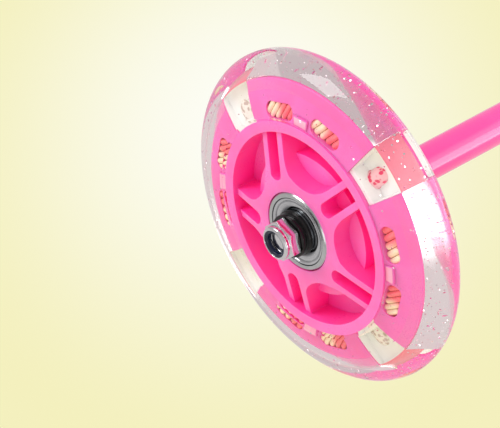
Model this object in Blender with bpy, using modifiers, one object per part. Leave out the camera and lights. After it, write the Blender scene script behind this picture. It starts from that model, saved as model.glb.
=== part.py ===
"""A light-up scooter wheel on its axle tube: a clear tyre cast over a two-part hub that holds a ring of coils and
lamps, turning on two ball bearings and a long M6 bolt.

Every piece hangs from the empty axle_line. Its +Z runs along the axle and out of the nut, so a height below is a
distance from the middle plane of the wheel, positive towards the nut. The origin of the world is the centre of
the far end of the axle tube, and the nut points to -Y.
"""

import math

import bmesh
import bpy
from mathutils import Matrix

MM = 0.001

# Clearances
PRESS_GAP = 0.15 * MM  # between a ring and its seat
FACE_GAP = 0.25 * MM  # between two faces that are clamped together
CAST_GAP = 0.3 * MM  # between the cast tyre and what it is cast over
THREAD_GAP = 0.2 * MM  # between the bolt and what it passes through
BALL_GAP = 0.1 * MM
CHIP_GAP = 0.05 * MM  # between a lamp chip and the coil over it

# Wheel and tyre
WHEEL_RADIUS = 46.5 * MM
TYRE_DEPTH = 16.5 * MM  # from the hub's rim to the tread
TYRE_HALF_WIDTH = 9.2 * MM
TREAD = 7.0 * MM  # from the hub's flanges to the tread
TYRE_COVER = 2.4 * MM  # how far the flanges lie inside the tyre's side

# Hub
RIM_WALL = 3.0 * MM
RIM_INSET = 0.4 * MM  # how far the rim's face lies inside the tyre's side
HALF_JOINT = 0.15 * MM  # half the gap between the two mouldings
WEB = 1.2 * MM
DRUM_SHARE = 0.4466  # where the drum's edge lies on the way from the boss to the rim
DRUM_HEIGHT = 5.5 * MM
BOSS_WALL = 3.2 * MM  # from the bearing seat to the middle of a pocket
BOSS_RECESS = 0.1 * MM  # how far the boss lies behind the bearing's face
BOSS_FLAT = 5.0 * MM  # width of the boss's flat face round the seat
RIB_DROP = 1.4 * MM  # how far the ribs lie behind the rim's face where they meet it
SPOKES = 5
RIB = 2.3 * MM
SLOT_WIDTH = 3.4 * MM
POCKET_UNDERCUT = 0.1 * MM  # how far the pockets reach into the rim
MOUTH_CHAMFER = 0.3 * MM
SHOULDER = 1.45 * MM  # how far the step between the bearings stands in
KEY_ANGLE = math.radians(49)  # where the hub's plane of symmetry stands round the axle

# Flanges under the tyre, with their windows and lamp holes
FLANGE_THICKNESS = 3.6 * MM
FLANGE_CHAMFER = 0.5 * MM
WINDOWS = 4
WINDOW_HALF_ANGLE = math.radians(9.7)
HOLES_BETWEEN_WINDOWS = 2
HOLE_END_ROOM = 1.2 * MM  # from a coil's end to the end of its hole
HOLE_TO_RIM = 0.1 * MM
LEDGE_WIDTH = 1.3 * MM
LEDGE_HEIGHT = 0.9 * MM
LEDGE_HALF_ANGLE = math.radians(4.6)

# Lamp ring
BOARD_THICKNESS = 0.6 * MM
BOARD_INSET = 0.4 * MM  # from the flanges' inner faces to the board's edges
COIL_THICKNESS = 3.0 * MM
COIL_LENGTH = 8.0 * MM
COIL_INSET = 0.8 * MM  # from the flanges' outer faces to the coil's ends
COIL_TURNS = 5
COIL_GROOVE = 0.35 * MM
CORE_THICKNESS = 1.0 * MM
CORE_INSET = 0.7 * MM  # from the flanges' inner faces to the core
CORE_OVERHANG = 1.0 * MM
CHIP_LENGTH = 3.0 * MM
CHIP_WIDTH = 2.6 * MM
CHIP_HEIGHT = 0.9 * MM
LAMP_RADIUS = 2.5 * MM
LAMP_LENGTH = 5.0 * MM

# Axle
BOLT_RADIUS = 3.0 * MM
TUBE_PLAY = 0.3 * MM  # between the bolt and the tube's bore
TUBE_WALL = 1.7 * MM
TUBE_LENGTH = 90.0 * MM
LUG = 3.0 * MM  # thickness of the frame's lug that the bolt clamps against the tube
WASHER_LIP = 3.0 * MM  # how far the washer reaches past the bolt
WASHER = 1.6 * MM
HEX_PER_BOLT = 1.6667  # the hexagons' size across flats, for each of the bolt's diameter
HEX_TRIM = 0.1 * MM  # how far the barrel that rounds a hexagon's corners passes it
HEAD_HEIGHT = 4.0 * MM
NUT_HEX = 3.9 * MM
COLLAR_HEIGHT = 1.9 * MM
COLLAR_WALL = 1.4 * MM
NYLON_WALL = 0.7 * MM
NYLON_DEPTH = 1.5 * MM
BOLT_END_RECESS = 0.7 * MM  # how far the bolt's end lies inside the collar
BOLT_END_CHAMFER = 0.6 * MM

# Ball bearing, size 608, and its bushes
BUSH_WALL = 1.0 * MM  # from the bolt to the bearing's bore
BEARING_RADIUS = 11.0 * MM
BEARING_WIDTH = 7.0 * MM
OUTER_RING_SHARE = 0.2571  # how much of the bearing's radial depth is outer ring
INNER_RING_SHARE = 0.2857
BALL_SHARE = 0.2836  # a ball's radius, for each of that depth
BALLS = 7
SHIELD_SEAT = 0.4 * MM
SHIELD_THICKNESS = 0.35 * MM
SHIELD_RECESS = 0.35 * MM
CAGE_HALF_WIDTH = 0.55 * MM
CAGE_HALF_HEIGHT = 0.6 * MM
RING_CHAMFER = 0.35 * MM
SPACER_LENGTH = 8.0 * MM  # between the two bearings
SPACER_WALL = 1.3 * MM  # how far the spacer stands out past the bearing's bore
MAGNET_TO_HUB = 0.6 * MM
MAGNET_INSET = 1.0 * MM  # from the spacer's ends to the magnet's
BUSH_FLANGE_WALL = 3.0 * MM
BUSH_FLANGE = 0.8 * MM
BUSH_NOSE_WALL = 2.3 * MM
BUSH_NOSE = 1.2 * MM
BUSH_ROUND = 0.5 * MM
BUSH_SLEEVE = 6.0 * MM

# Derived radii of the axle and the bearings
BORE_RADIUS = BOLT_RADIUS + THREAD_GAP
TUBE_RADIUS = BOLT_RADIUS + TUBE_PLAY + TUBE_WALL
WASHER_RADIUS = BOLT_RADIUS + WASHER_LIP
HEX_FLATS = 2 * BOLT_RADIUS * HEX_PER_BOLT
COLLAR_RADIUS = BOLT_RADIUS + COLLAR_WALL
BEARING_BORE = BOLT_RADIUS + BUSH_WALL
BEARING_DEPTH = BEARING_RADIUS - BEARING_BORE
OUTER_RING_WALL = OUTER_RING_SHARE * BEARING_DEPTH
INNER_RING_WALL = INNER_RING_SHARE * BEARING_DEPTH
BALL_RADIUS = BALL_SHARE * BEARING_DEPTH
PITCH_RADIUS = (BEARING_RADIUS + BEARING_BORE) / 2
SPACER_RADIUS = BEARING_BORE + SPACER_WALL
BUSH_FLANGE_RADIUS = BEARING_BORE + BUSH_FLANGE_WALL
BUSH_NOSE_RADIUS = BEARING_BORE + BUSH_NOSE_WALL

# Derived radii of the hub and what lies round it
SEAT_RADIUS = BEARING_RADIUS + PRESS_GAP
SHOULDER_RADIUS = SEAT_RADIUS - SHOULDER
MAGNET_RADIUS = SHOULDER_RADIUS - MAGNET_TO_HUB
BOSS_REACH = SEAT_RADIUS + BOSS_WALL
RIM_RADIUS = WHEEL_RADIUS - TYRE_DEPTH
RIM_BORE = RIM_RADIUS - RIM_WALL
POCKET_REACH = RIM_BORE + POCKET_UNDERCUT
DRUM_RADIUS = BOSS_REACH + DRUM_SHARE * (RIM_BORE - BOSS_REACH)
FLANGE_RADIUS = WHEEL_RADIUS - TREAD
BOARD_RADIUS = RIM_RADIUS + CAST_GAP
BOARD_FACE = BOARD_RADIUS + BOARD_THICKNESS
COIL_CENTRE = BOARD_FACE + PRESS_GAP + CHIP_HEIGHT + CHIP_GAP + COIL_THICKNESS / 2
HOLE_INNER = RIM_RADIUS + HOLE_TO_RIM
HOLE_OUTER = COIL_CENTRE + COIL_THICKNESS / 2 + CAST_GAP
HOLE_RADIAL = HOLE_OUTER - HOLE_INNER
HOLE_CENTRE = (HOLE_OUTER + HOLE_INNER) / 2
HOLE_LENGTH = COIL_LENGTH + 2 * HOLE_END_ROOM
LAMP_PLACES = WINDOWS * (HOLES_BETWEEN_WINDOWS + 1)

# Derived heights above the wheel's middle plane
RIM_HALF_WIDTH = TYRE_HALF_WIDTH - RIM_INSET
FLANGE_OUTER_HEIGHT = TYRE_HALF_WIDTH - TYRE_COVER
FLANGE_INNER_HEIGHT = FLANGE_OUTER_HEIGHT - FLANGE_THICKNESS
LEDGE_TOP = FLANGE_OUTER_HEIGHT + LEDGE_HEIGHT
BOARD_HALF_WIDTH = FLANGE_INNER_HEIGHT - BOARD_INSET
COIL_HALF_HEIGHT = FLANGE_OUTER_HEIGHT - COIL_INSET
CORE_HEIGHT = 2 * (FLANGE_INNER_HEIGHT - CORE_INSET)
SHOULDER_HEIGHT = SPACER_LENGTH / 2 - FACE_GAP
MAGNET_HALF_HEIGHT = SPACER_LENGTH / 2 - MAGNET_INSET
BEARING_FACE = SPACER_LENGTH / 2 + BEARING_WIDTH
BOSS_HEIGHT = BEARING_FACE - BOSS_RECESS
BUSH_BASE = BEARING_FACE + FACE_GAP
BUSH_TOP = BUSH_BASE + BUSH_FLANGE + BUSH_NOSE
NUT_BASE = BUSH_TOP + FACE_GAP
NUT_TOP = NUT_BASE + NUT_HEX + COLLAR_HEIGHT
TUBE_NEAR = -(BUSH_TOP + FACE_GAP)
TUBE_FAR = TUBE_NEAR - TUBE_LENGTH
WASHER_FACE = TUBE_FAR - LUG
HEAD_FACE = WASHER_FACE - WASHER - FACE_GAP
BOLT_END = NUT_TOP - BOLT_END_RECESS

ROUND = 48  # segments of a large circle
SMALL = 28  # segments of a small circle
TINY = 12  # segments of a lamp


def clear_scene():
    for obj in list(bpy.data.objects):
        bpy.data.objects.remove(obj)


def material(name, colour, roughness, metallic=0.0):
    made = bpy.data.materials.new(name)
    made.use_nodes = True
    shader = made.node_tree.nodes["Principled BSDF"]
    shader.inputs["Base Color"].default_value = (*colour, 1)
    shader.inputs["Roughness"].default_value = roughness
    shader.inputs["Metallic"].default_value = metallic
    return made


def empty(name, parent=None, turn=(0, 0, 0), at=(0, 0, 0)):
    made = bpy.data.objects.new(name, None)
    PARTS.objects.link(made)
    made.parent = parent
    made.rotation_euler = turn
    made.location = at
    return made


def place(name, mesh, finish, parent, group=None):
    """An object for the mesh, in the parts' collection or in another one, shaded smooth but for its sharp edges."""
    made = bpy.data.objects.new(name, mesh)
    (group or PARTS).objects.link(made)
    made.parent = parent
    if finish:
        mesh.materials.clear()
        mesh.materials.append(finish)
        mesh.shade_smooth()
        mesh.set_sharp_from_angle(angle=math.radians(35))
    return made


def helper(obj):
    """Marks a cutter or a lump that a Boolean uses up."""
    obj.hide_render = True
    obj.display_type = "WIRE"
    return obj


def evaluated_mesh(obj):
    bpy.context.view_layer.update()
    return bpy.data.meshes.new_from_object(obj.evaluated_get(bpy.context.evaluated_depsgraph_get()))


def outline_mesh(name, outline, closed):
    """A bare outline of (radius, height) points in the XZ plane, for a Screw to turn."""
    mesh = bpy.data.meshes.new(name)
    links = [(i, i + 1) for i in range(len(outline) - 1)]
    if closed:
        links.append((len(outline) - 1, 0))
    mesh.from_pydata([(radius, 0, height) for radius, height in outline], links, [])
    return mesh


def turned_mesh(name, outline, steps):
    """The solid that an outline makes about Z. The outline runs down its outer side, and closes unless it starts on
    the axis."""
    closed = outline[0][0] > 0
    guide = bpy.data.objects.new(name, outline_mesh(name, outline, closed))
    CUTTERS.objects.link(guide)
    screw = guide.modifiers.new("turn", "SCREW")
    screw.steps = screw.render_steps = steps
    screw.use_merge_vertices = True
    screw.merge_threshold = 1e-6
    mesh = evaluated_mesh(guide)
    bpy.data.objects.remove(guide)
    mesh.name = name
    return mesh


def turned(name, outline, finish, parent, steps=SMALL):
    return place(name, turned_mesh(name, outline, steps), finish, parent)


def prism_mesh(name, outlines, low, high):
    """Flat outlines of (x, y) points raised from one height to another."""
    curve = bpy.data.curves.new(name, "CURVE")
    curve.dimensions = "2D"
    curve.fill_mode = "BOTH"
    curve.extrude = (high - low) / 2
    for outline in outlines:
        spline = curve.splines.new("POLY")
        spline.points.add(len(outline) - 1)
        for point, (x, y) in zip(spline.points, outline):
            point.co = (x, y, 0, 1)
        spline.use_cyclic_u = True
    guide = bpy.data.objects.new(name, curve)
    CUTTERS.objects.link(guide)
    mesh = evaluated_mesh(guide)
    bpy.data.objects.remove(guide)
    mesh.transform(Matrix.Translation((0, 0, (low + high) / 2)))
    weld(mesh)
    return mesh


def weld(mesh):
    shape = bmesh.new()
    shape.from_mesh(mesh)
    bmesh.ops.remove_doubles(shape, verts=shape.verts, dist=1e-7)
    bmesh.ops.recalc_face_normals(shape, faces=shape.faces)
    shape.to_mesh(mesh)
    shape.free()


def boolean(obj, other, operation):
    step = obj.modifiers.new(f"{operation.lower()} {other.name}", "BOOLEAN")
    step.operation = operation
    step.object = other


def arc(radius, start, end, count, centre=(0, 0)):
    """Points round an arc, both ends included."""
    turns = [start + (end - start) * i / (count - 1) for i in range(count)]
    return [(centre[0] + radius * math.cos(t), centre[1] + radius * math.sin(t)) for t in turns]


def rotated(points, turn):
    c, s = math.cos(turn), math.sin(turn)
    return [(x * c - y * s, x * s + y * c) for x, y in points]


def around(count, first=0.0):
    return [first + 2 * math.pi * i / count for i in range(count)]


# Tyre


def tyre_outline():
    """The tyre's section: half an ellipse from the rim to the crown, over a channel that holds the hub's flanges."""
    depth = WHEEL_RADIUS - BOARD_RADIUS
    crown = arc(1, math.pi / 2, -math.pi / 2, 13)
    outside = [(BOARD_RADIUS + depth * x, TYRE_HALF_WIDTH * y) for x, y in crown]
    bore = FLANGE_RADIUS + CAST_GAP
    side = FLANGE_OUTER_HEIGHT + CAST_GAP
    chamfer = FLANGE_CHAMFER
    inside = [(BOARD_RADIUS, side), (bore - chamfer, side), (bore, side - chamfer)]
    return outside + [(r, -z) for r, z in inside] + inside[::-1]


def ledge_ways(wheel):
    """What the tyre leaves free round the hub's ledges."""
    half = LEDGE_HALF_ANGLE + CAST_GAP / RIM_RADIUS
    outer = RIM_RADIUS + LEDGE_WIDTH + CAST_GAP
    high = LEDGE_TOP + CAST_GAP
    mesh = prism_mesh("ledge ways", [wedge(RIM_BORE, outer, half, t) for t in ledge_turns()], -high, high)
    return helper(place("ledge ways", mesh, None, wheel, CUTTERS))


# Hub


def pocket_outline():
    """The D-shaped hollow between two pairs of ribs, centred on +X: two rib sides, an arc round the boss and an arc
    along the rim."""
    half = math.pi / SPOKES
    offset = SLOT_WIDTH / 2 + RIB
    room = (math.sqrt(POCKET_REACH**2 - offset**2) - MOUTH_CHAMFER) / math.cos(half)
    centre = min((BOSS_REACH - offset) / (1 - math.sin(half)), room)
    fillet = centre * math.sin(half) - offset
    rim = half - math.asin(offset / POCKET_REACH)
    inner = arc(fillet, math.pi / 2 + half, 1.5 * math.pi - half, 9, (centre, 0))
    return arc(POCKET_REACH, -rim, rim, 7) + inner


def slot_outline():
    """The slot between the two ribs of a pair, along +X, with a round inner end."""
    half = SLOT_WIDTH / 2
    inner = BOSS_REACH + half
    rim = math.asin(half / POCKET_REACH)
    return arc(POCKET_REACH, -rim, rim, 3) + arc(half, math.pi / 2, 1.5 * math.pi, 7, (inner, 0))


def hub_outline():
    """The hub moulding before its pockets are cut: bearing seat, boss, sloping ribs and rim."""
    flat = SEAT_RADIUS + BOSS_FLAT
    return [
        (SEAT_RADIUS + MOUTH_CHAMFER, BOSS_HEIGHT),
        (flat, BOSS_HEIGHT),
        (RIM_BORE, RIM_HALF_WIDTH - RIB_DROP),
        (RIM_BORE, RIM_HALF_WIDTH),
        (RIM_RADIUS, RIM_HALF_WIDTH),
        (RIM_RADIUS, HALF_JOINT),
        (SHOULDER_RADIUS, HALF_JOINT),
        (SHOULDER_RADIUS, SHOULDER_HEIGHT),
        (SEAT_RADIUS, SHOULDER_HEIGHT),
        (SEAT_RADIUS, BOSS_HEIGHT - MOUTH_CHAMFER),
    ]


def drum_outline():
    inner = SEAT_RADIUS + BOSS_WALL / 2
    return [
        (inner, DRUM_HEIGHT),
        (DRUM_RADIUS, DRUM_HEIGHT),
        (DRUM_RADIUS, WEB / 2),
        (inner, WEB / 2),
    ]


def flange_outline():
    inner = RIM_RADIUS - RIM_WALL / 2
    return [
        (inner, FLANGE_OUTER_HEIGHT),
        (FLANGE_RADIUS - FLANGE_CHAMFER, FLANGE_OUTER_HEIGHT),
        (FLANGE_RADIUS, FLANGE_OUTER_HEIGHT - FLANGE_CHAMFER),
        (FLANGE_RADIUS, FLANGE_INNER_HEIGHT),
        (inner, FLANGE_INNER_HEIGHT),
    ]


def wedge(inner, outer, half_angle, turn, count=5):
    """A flat outline between two radii and two radial sides."""
    ends = arc(outer, -half_angle, half_angle, count) + arc(inner, half_angle, -half_angle, count)
    return rotated(ends, turn)


def hole_outline(turn):
    """A lamp hole: a slot with round ends, across the radius."""
    half = HOLE_RADIAL / 2
    reach = HOLE_LENGTH / 2 - half
    ends = arc(half, 0, math.pi, 7, (0, reach)) + arc(half, math.pi, 2 * math.pi, 7, (0, -reach))
    return rotated([(HOLE_CENTRE + x, y) for x, y in ends], turn)


def hole_turns():
    """Where the lamp holes stand: every lamp place that isn't a window."""
    places = around(LAMP_PLACES)
    return [t for i, t in enumerate(places) if i % (HOLES_BETWEEN_WINDOWS + 1)]


def ledge_turns():
    return around(WINDOWS, math.pi / WINDOWS)


def hub_half_mesh():
    """One hub moulding, from the middle plane up to its face."""
    above = BOSS_HEIGHT + 2 * MM
    spokes = around(SPOKES)
    gaps = around(SPOKES, math.pi / SPOKES)
    outlines = [rotated(pocket_outline(), t) for t in gaps]
    outlines += [rotated(slot_outline(), t) for t in spokes]
    pockets = helper(place("pockets", prism_mesh("pockets", outlines, HALF_JOINT + WEB, above), None, None, CUTTERS))
    drum = helper(place("drum", turned_mesh("drum", drum_outline(), ROUND), None, None, CUTTERS))
    flange = helper(place("flange", turned_mesh("flange", flange_outline(), ROUND), None, None, CUTTERS))
    low, high = FLANGE_INNER_HEIGHT - MM, FLANGE_OUTER_HEIGHT + MM
    inner = RIM_RADIUS - RIM_WALL / 2
    windows = [wedge(inner - MM, FLANGE_RADIUS + MM, WINDOW_HALF_ANGLE, t) for t in around(WINDOWS)]
    holes = [hole_outline(t) for t in hole_turns()]
    openings = helper(place("openings", prism_mesh("openings", windows + holes, low, high), None, None, CUTTERS))
    steps = [wedge(inner, RIM_RADIUS + LEDGE_WIDTH, LEDGE_HALF_ANGLE, t) for t in ledge_turns()]
    base = FLANGE_OUTER_HEIGHT - FLANGE_THICKNESS / 2
    ledges = helper(place("ledges", prism_mesh("ledges", steps, base, LEDGE_TOP), None, None, CUTTERS))
    boolean(flange, openings, "DIFFERENCE")
    body = place("hub", turned_mesh("hub", hub_outline(), ROUND), None, None, CUTTERS)
    boolean(body, pockets, "DIFFERENCE")
    boolean(body, drum, "UNION")
    boolean(body, flange, "UNION")
    boolean(body, ledges, "UNION")
    mesh = evaluated_mesh(helper(body))
    mesh.name = "hub half"
    return mesh


# Lamp ring


def stadium(half_thickness, half_height, count):
    """A flat outline with round ends, long in Y and thin in X."""
    reach = half_height - half_thickness
    top = arc(half_thickness, 0, math.pi, count, (0, reach))
    return top + arc(half_thickness, math.pi, 2 * math.pi, count, (0, -reach))


def coil_mesh():
    """A coil wound on a flat core, lying along Y with its turns as ridges. It is centred on its own origin."""
    layers = []
    pitch = COIL_LENGTH / COIL_TURNS
    for i in range(2 * COIL_TURNS + 1):
        groove = COIL_GROOVE if i % 2 == 0 else 0
        layers.append((-COIL_LENGTH / 2 + i * pitch / 2, groove))
    solid = helper(bpy.data.objects.new("coil", loft_mesh("coil", layers)))
    CUTTERS.objects.link(solid)
    gap = 2 * PRESS_GAP
    slot = box_mesh("core way", CORE_THICKNESS + gap, COIL_LENGTH + 4 * MM, CORE_HEIGHT + gap)
    boolean(solid, helper(place("core way", slot, None, None, CUTTERS)), "DIFFERENCE")
    mesh = evaluated_mesh(solid)
    mesh.name = "coil"
    return mesh


def loft_mesh(name, layers):
    """The coil's outline repeated along Y, smaller in its grooves, and skinned."""
    shape = bmesh.new()
    rings = []
    for along, groove in layers:
        outline = stadium(COIL_THICKNESS / 2 - groove, COIL_HALF_HEIGHT - groove, 4)
        rings.append([shape.verts.new((x, along, z)) for x, z in outline])
    for ring in rings:
        for a, b in zip(ring, ring[1:] + ring[:1]):
            shape.edges.new((a, b))
    for first, second in zip(rings, rings[1:]):
        edges = [shape.edges.get((a, b)) for ring in (first, second) for a, b in zip(ring, ring[1:] + ring[:1])]
        bmesh.ops.bridge_loops(shape, edges=edges)
    for ring in (rings[0], rings[-1]):
        shape.faces.new(ring)
    bmesh.ops.recalc_face_normals(shape, faces=shape.faces)
    mesh = bpy.data.meshes.new(name)
    shape.to_mesh(mesh)
    shape.free()
    return mesh


def box_mesh(name, x, y, z):
    shape = bmesh.new()
    bmesh.ops.create_cube(shape, size=1, matrix=Matrix.Diagonal((x, y, z, 1)))
    mesh = bpy.data.meshes.new(name)
    shape.to_mesh(mesh)
    shape.free()
    return mesh


def lamp_outline():
    """A round lamp that stands on the board and ends in a dome, along its own Z."""
    dome = arc(LAMP_RADIUS, math.pi / 2, 0, 4, (0, LAMP_LENGTH - LAMP_RADIUS))
    return dome + [(LAMP_RADIUS, 0), (0, 0)]


def light_block_mesh():
    """The clear block that fills a window from face to face, with a hollow for its lamp. It is centred on +X."""
    height = FLANGE_OUTER_HEIGHT - CAST_GAP
    gap_angle = CAST_GAP / RIM_RADIUS
    inner = BOARD_FACE + CAST_GAP
    outline = wedge(inner, FLANGE_RADIUS, WINDOW_HALF_ANGLE - gap_angle, 0)
    mesh = prism_mesh("light block", [outline], -height, height)
    block = helper(place("light block", mesh, None, None, CUTTERS))
    radius = LAMP_RADIUS + CAST_GAP
    reach = BOARD_FACE + CAST_GAP + LAMP_LENGTH - LAMP_RADIUS
    hollow = arc(radius, math.pi / 2, 0, 4, (0, reach)) + [(radius, BOARD_RADIUS), (0, BOARD_RADIUS)]
    drill = helper(place("lamp way", turned_mesh("lamp way", hollow, TINY), None, None, CUTTERS))
    drill.rotation_euler = (0, math.pi / 2, 0)
    boolean(block, drill, "DIFFERENCE")
    made = evaluated_mesh(block)
    made.name = "light block"
    return made


def build_lamp_ring(wheel, looks):
    """The board round the rim and what stands on it. Each piece's own parent turns it to its place."""
    side = BOARD_HALF_WIDTH
    board = [(BOARD_RADIUS, side), (BOARD_FACE, side), (BOARD_FACE, -side), (BOARD_RADIUS, -side)]
    turned("lamp_board", board, looks["board"], wheel, ROUND)
    coil, core = coil_mesh(), box_mesh("coil core", CORE_THICKNESS, COIL_LENGTH + 2 * CORE_OVERHANG, CORE_HEIGHT)
    chip = box_mesh("lamp chip", CHIP_HEIGHT, CHIP_LENGTH, CHIP_WIDTH)
    chip_centre = BOARD_FACE + PRESS_GAP + CHIP_HEIGHT / 2
    for number, turn in enumerate(hole_turns(), 1):
        stand = empty(f"coil_stand_{number}", wheel, (0, 0, turn))
        place(f"coil_{number}", coil, looks["copper"], stand).location.x = COIL_CENTRE
        place(f"coil_core_{number}", core, looks["iron"], stand).location.x = COIL_CENTRE
        place(f"lamp_chip_{number}", chip, looks["lamp"], stand).location.x = chip_centre
    block = light_block_mesh()
    lamp = turned_mesh("window lamp", lamp_outline(), TINY)
    for number, turn in enumerate(around(WINDOWS), 1):
        stand = empty(f"window_stand_{number}", wheel, (0, 0, turn))
        place(f"light_block_{number}", block, looks["clear"], stand)
        lit = place(f"window_lamp_{number}", lamp, looks["lamp"], stand)
        lit.location.x = BOARD_FACE + PRESS_GAP
        lit.rotation_euler = (0, math.pi / 2, 0)


# Bearings


def groove(radius, start, end):
    """The race that the balls run in, as an arc of a section."""
    return arc(BALL_RADIUS + BALL_GAP, start, end, 5, (radius, 0))


def outer_ring_outline():
    half = BEARING_WIDTH / 2
    land = BEARING_RADIUS - OUTER_RING_WALL
    seat = land + SHIELD_SEAT
    depth = half - SHIELD_RECESS - SHIELD_THICKNESS - PRESS_GAP
    reach = math.acos((land - PITCH_RADIUS) / (BALL_RADIUS + BALL_GAP))
    c = RING_CHAMFER
    r = BEARING_RADIUS
    outside = [(r - c, half), (r, half - c), (r, c - half), (r - c, -half)]
    return outside + [(seat, -half), (seat, -depth), (land, -depth)] + groove(PITCH_RADIUS, -reach, reach) + [
        (land, depth),
        (seat, depth),
        (seat, half),
    ]


def inner_ring_outline():
    half = BEARING_WIDTH / 2
    land = BEARING_BORE + INNER_RING_WALL
    reach = math.acos((PITCH_RADIUS - land) / (BALL_RADIUS + BALL_GAP))
    c = RING_CHAMFER
    race = groove(PITCH_RADIUS, math.pi - reach, math.pi + reach)
    bore = [(BEARING_BORE + c, -half), (BEARING_BORE, c - half), (BEARING_BORE, half - c), (BEARING_BORE + c, half)]
    return [(land, half)] + race + [(land, -half)] + bore


def shield_outline():
    """One shield, on the bearing's +Z side."""
    top = BEARING_WIDTH / 2 - SHIELD_RECESS
    outer = BEARING_RADIUS - OUTER_RING_WALL + SHIELD_SEAT - PRESS_GAP
    inner = BEARING_BORE + INNER_RING_WALL + PRESS_GAP
    return [(inner, top), (outer, top), (outer, top - SHIELD_THICKNESS), (inner, top - SHIELD_THICKNESS)]


def cage_mesh():
    """The balls and the cage that spaces them."""
    inner, outer = PITCH_RADIUS - CAGE_HALF_WIDTH, PITCH_RADIUS + CAGE_HALF_WIDTH
    high = CAGE_HALF_HEIGHT
    ring = turned_mesh("cage", [(inner, high), (outer, high), (outer, -high), (inner, -high)], 3 * BALLS)
    cage = helper(place("cage", ring, None, None, CUTTERS))
    shape = bmesh.new()
    for turn in around(BALLS):
        spot = Matrix.Rotation(turn, 4, "Z") @ Matrix.Translation((PITCH_RADIUS, 0, 0))
        bmesh.ops.create_uvsphere(shape, u_segments=10, v_segments=6, radius=BALL_RADIUS, matrix=spot)
    balls = bpy.data.meshes.new("balls")
    shape.to_mesh(balls)
    shape.free()
    boolean(cage, helper(place("balls", balls, None, None, CUTTERS)), "UNION")
    mesh = evaluated_mesh(cage)
    mesh.name = "balls and cage"
    return mesh


def build_bearings(axle, wheel, looks):
    """Two bearings, each with its shields on both sides."""
    half = BEARING_WIDTH / 2
    outer = turned_mesh("outer ring", outer_ring_outline(), 32)
    inner = turned_mesh("inner ring", inner_ring_outline(), SMALL)
    shield = turned_mesh("shield", shield_outline(), SMALL)
    cage = cage_mesh()
    for side, height in (("front", SPACER_LENGTH / 2 + half), ("rear", -SPACER_LENGTH / 2 - half)):
        seat = empty(f"{side}_bearing_seat", wheel, (0, 0, 0), (0, 0, height))
        journal = empty(f"{side}_bearing_journal", axle, (0, 0, 0), (0, 0, height))
        place(f"{side}_bearing_outer_ring", outer, looks["bearing"], seat)
        place(f"{side}_bearing_inner_ring", inner, looks["bearing"], journal)
        place(f"{side}_bearing_cage", cage, looks["bearing"], journal)
        place(f"{side}_bearing_shield_a", shield, looks["shield"], seat)
        place(f"{side}_bearing_shield_b", shield, looks["shield"], seat).rotation_euler = (math.pi, 0, 0)


# Axle


def bush_outline():
    """A black bush: a stepped flange outside the bearing and a sleeve that fills its bore down to the bolt."""
    sleeve = BEARING_BORE - PRESS_GAP
    step = BUSH_BASE + BUSH_FLANGE
    corner = arc(BUSH_ROUND, math.pi / 2, 0, 3, (BUSH_NOSE_RADIUS - BUSH_ROUND, BUSH_TOP - BUSH_ROUND))
    end = BUSH_BASE - BUSH_SLEEVE
    return [(BORE_RADIUS, BUSH_TOP)] + corner + [
        (BUSH_NOSE_RADIUS, step),
        (BUSH_FLANGE_RADIUS, step),
        (BUSH_FLANGE_RADIUS, BUSH_BASE),
        (sleeve, BUSH_BASE),
        (sleeve, end),
        (BORE_RADIUS, end),
    ]


def hexagon(flats, low, high, name):
    corner = flats / 2 / math.cos(math.pi / 6)
    return prism_mesh(name, [[(corner * math.cos(t), corner * math.sin(t)) for t in around(6)]], low, high)


def hex_round_outline(radius, low, high):
    """What trims a hexagon's corners: a barrel whose two ends are cones at 30 degrees, a little longer than the
    hexagon."""
    corner = HEX_FLATS / 2 / math.cos(math.pi / 6) + HEX_TRIM
    drop = (corner - radius) * math.tan(math.radians(30))
    narrow = radius - HEX_TRIM / math.tan(math.radians(30))
    over, under = high + HEX_TRIM, low - HEX_TRIM
    return [(0, over), (narrow, over), (corner, high - drop), (corner, low + drop), (narrow, under), (0, under)]


def build_nut(axle, looks):
    """A locking nut: hexagon, rounded collar and a nylon ring in the collar."""
    hex_top = NUT_BASE + NUT_HEX
    nut = place("nut_body", hexagon(HEX_FLATS, NUT_BASE, hex_top, "nut"), looks["nut"], axle)
    trim = hex_round_outline(HEX_FLATS / 2 * 0.98, NUT_BASE, hex_top)
    barrel = helper(place("nut barrel", turned_mesh("nut barrel", trim, SMALL), None, axle, CUTTERS))
    boolean(nut, barrel, "INTERSECT")
    rounding = COLLAR_HEIGHT * 0.4
    top = arc(rounding, math.pi / 2, 0, 4, (COLLAR_RADIUS - rounding, NUT_TOP - rounding))
    base = NUT_BASE + NUT_HEX / 2
    collar_shape = [(0, NUT_TOP)] + top + [(COLLAR_RADIUS, base), (0, base)]
    collar = helper(place("nut collar", turned_mesh("nut collar", collar_shape, SMALL), None, axle, CUTTERS))
    boolean(nut, collar, "UNION")
    ring_radius = BORE_RADIUS + NYLON_WALL
    ring_floor = NUT_TOP - NYLON_DEPTH - PRESS_GAP
    mouth = ring_radius + PRESS_GAP
    way = [
        (0, NUT_TOP + MM),
        (mouth, NUT_TOP + MM),
        (mouth, ring_floor - PRESS_GAP),
        (BORE_RADIUS, ring_floor - PRESS_GAP),
        (BORE_RADIUS, NUT_BASE - MM),
        (0, NUT_BASE - MM),
    ]
    bore = helper(place("nut bore", turned_mesh("nut bore", way, SMALL), None, axle, CUTTERS))
    boolean(nut, bore, "DIFFERENCE")
    ring_top = NUT_TOP - PRESS_GAP
    ring = [(BORE_RADIUS, ring_top), (ring_radius, ring_top), (ring_radius, ring_floor), (BORE_RADIUS, ring_floor)]
    turned("nut_nylon_ring", ring, looks["nylon"], axle)


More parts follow.
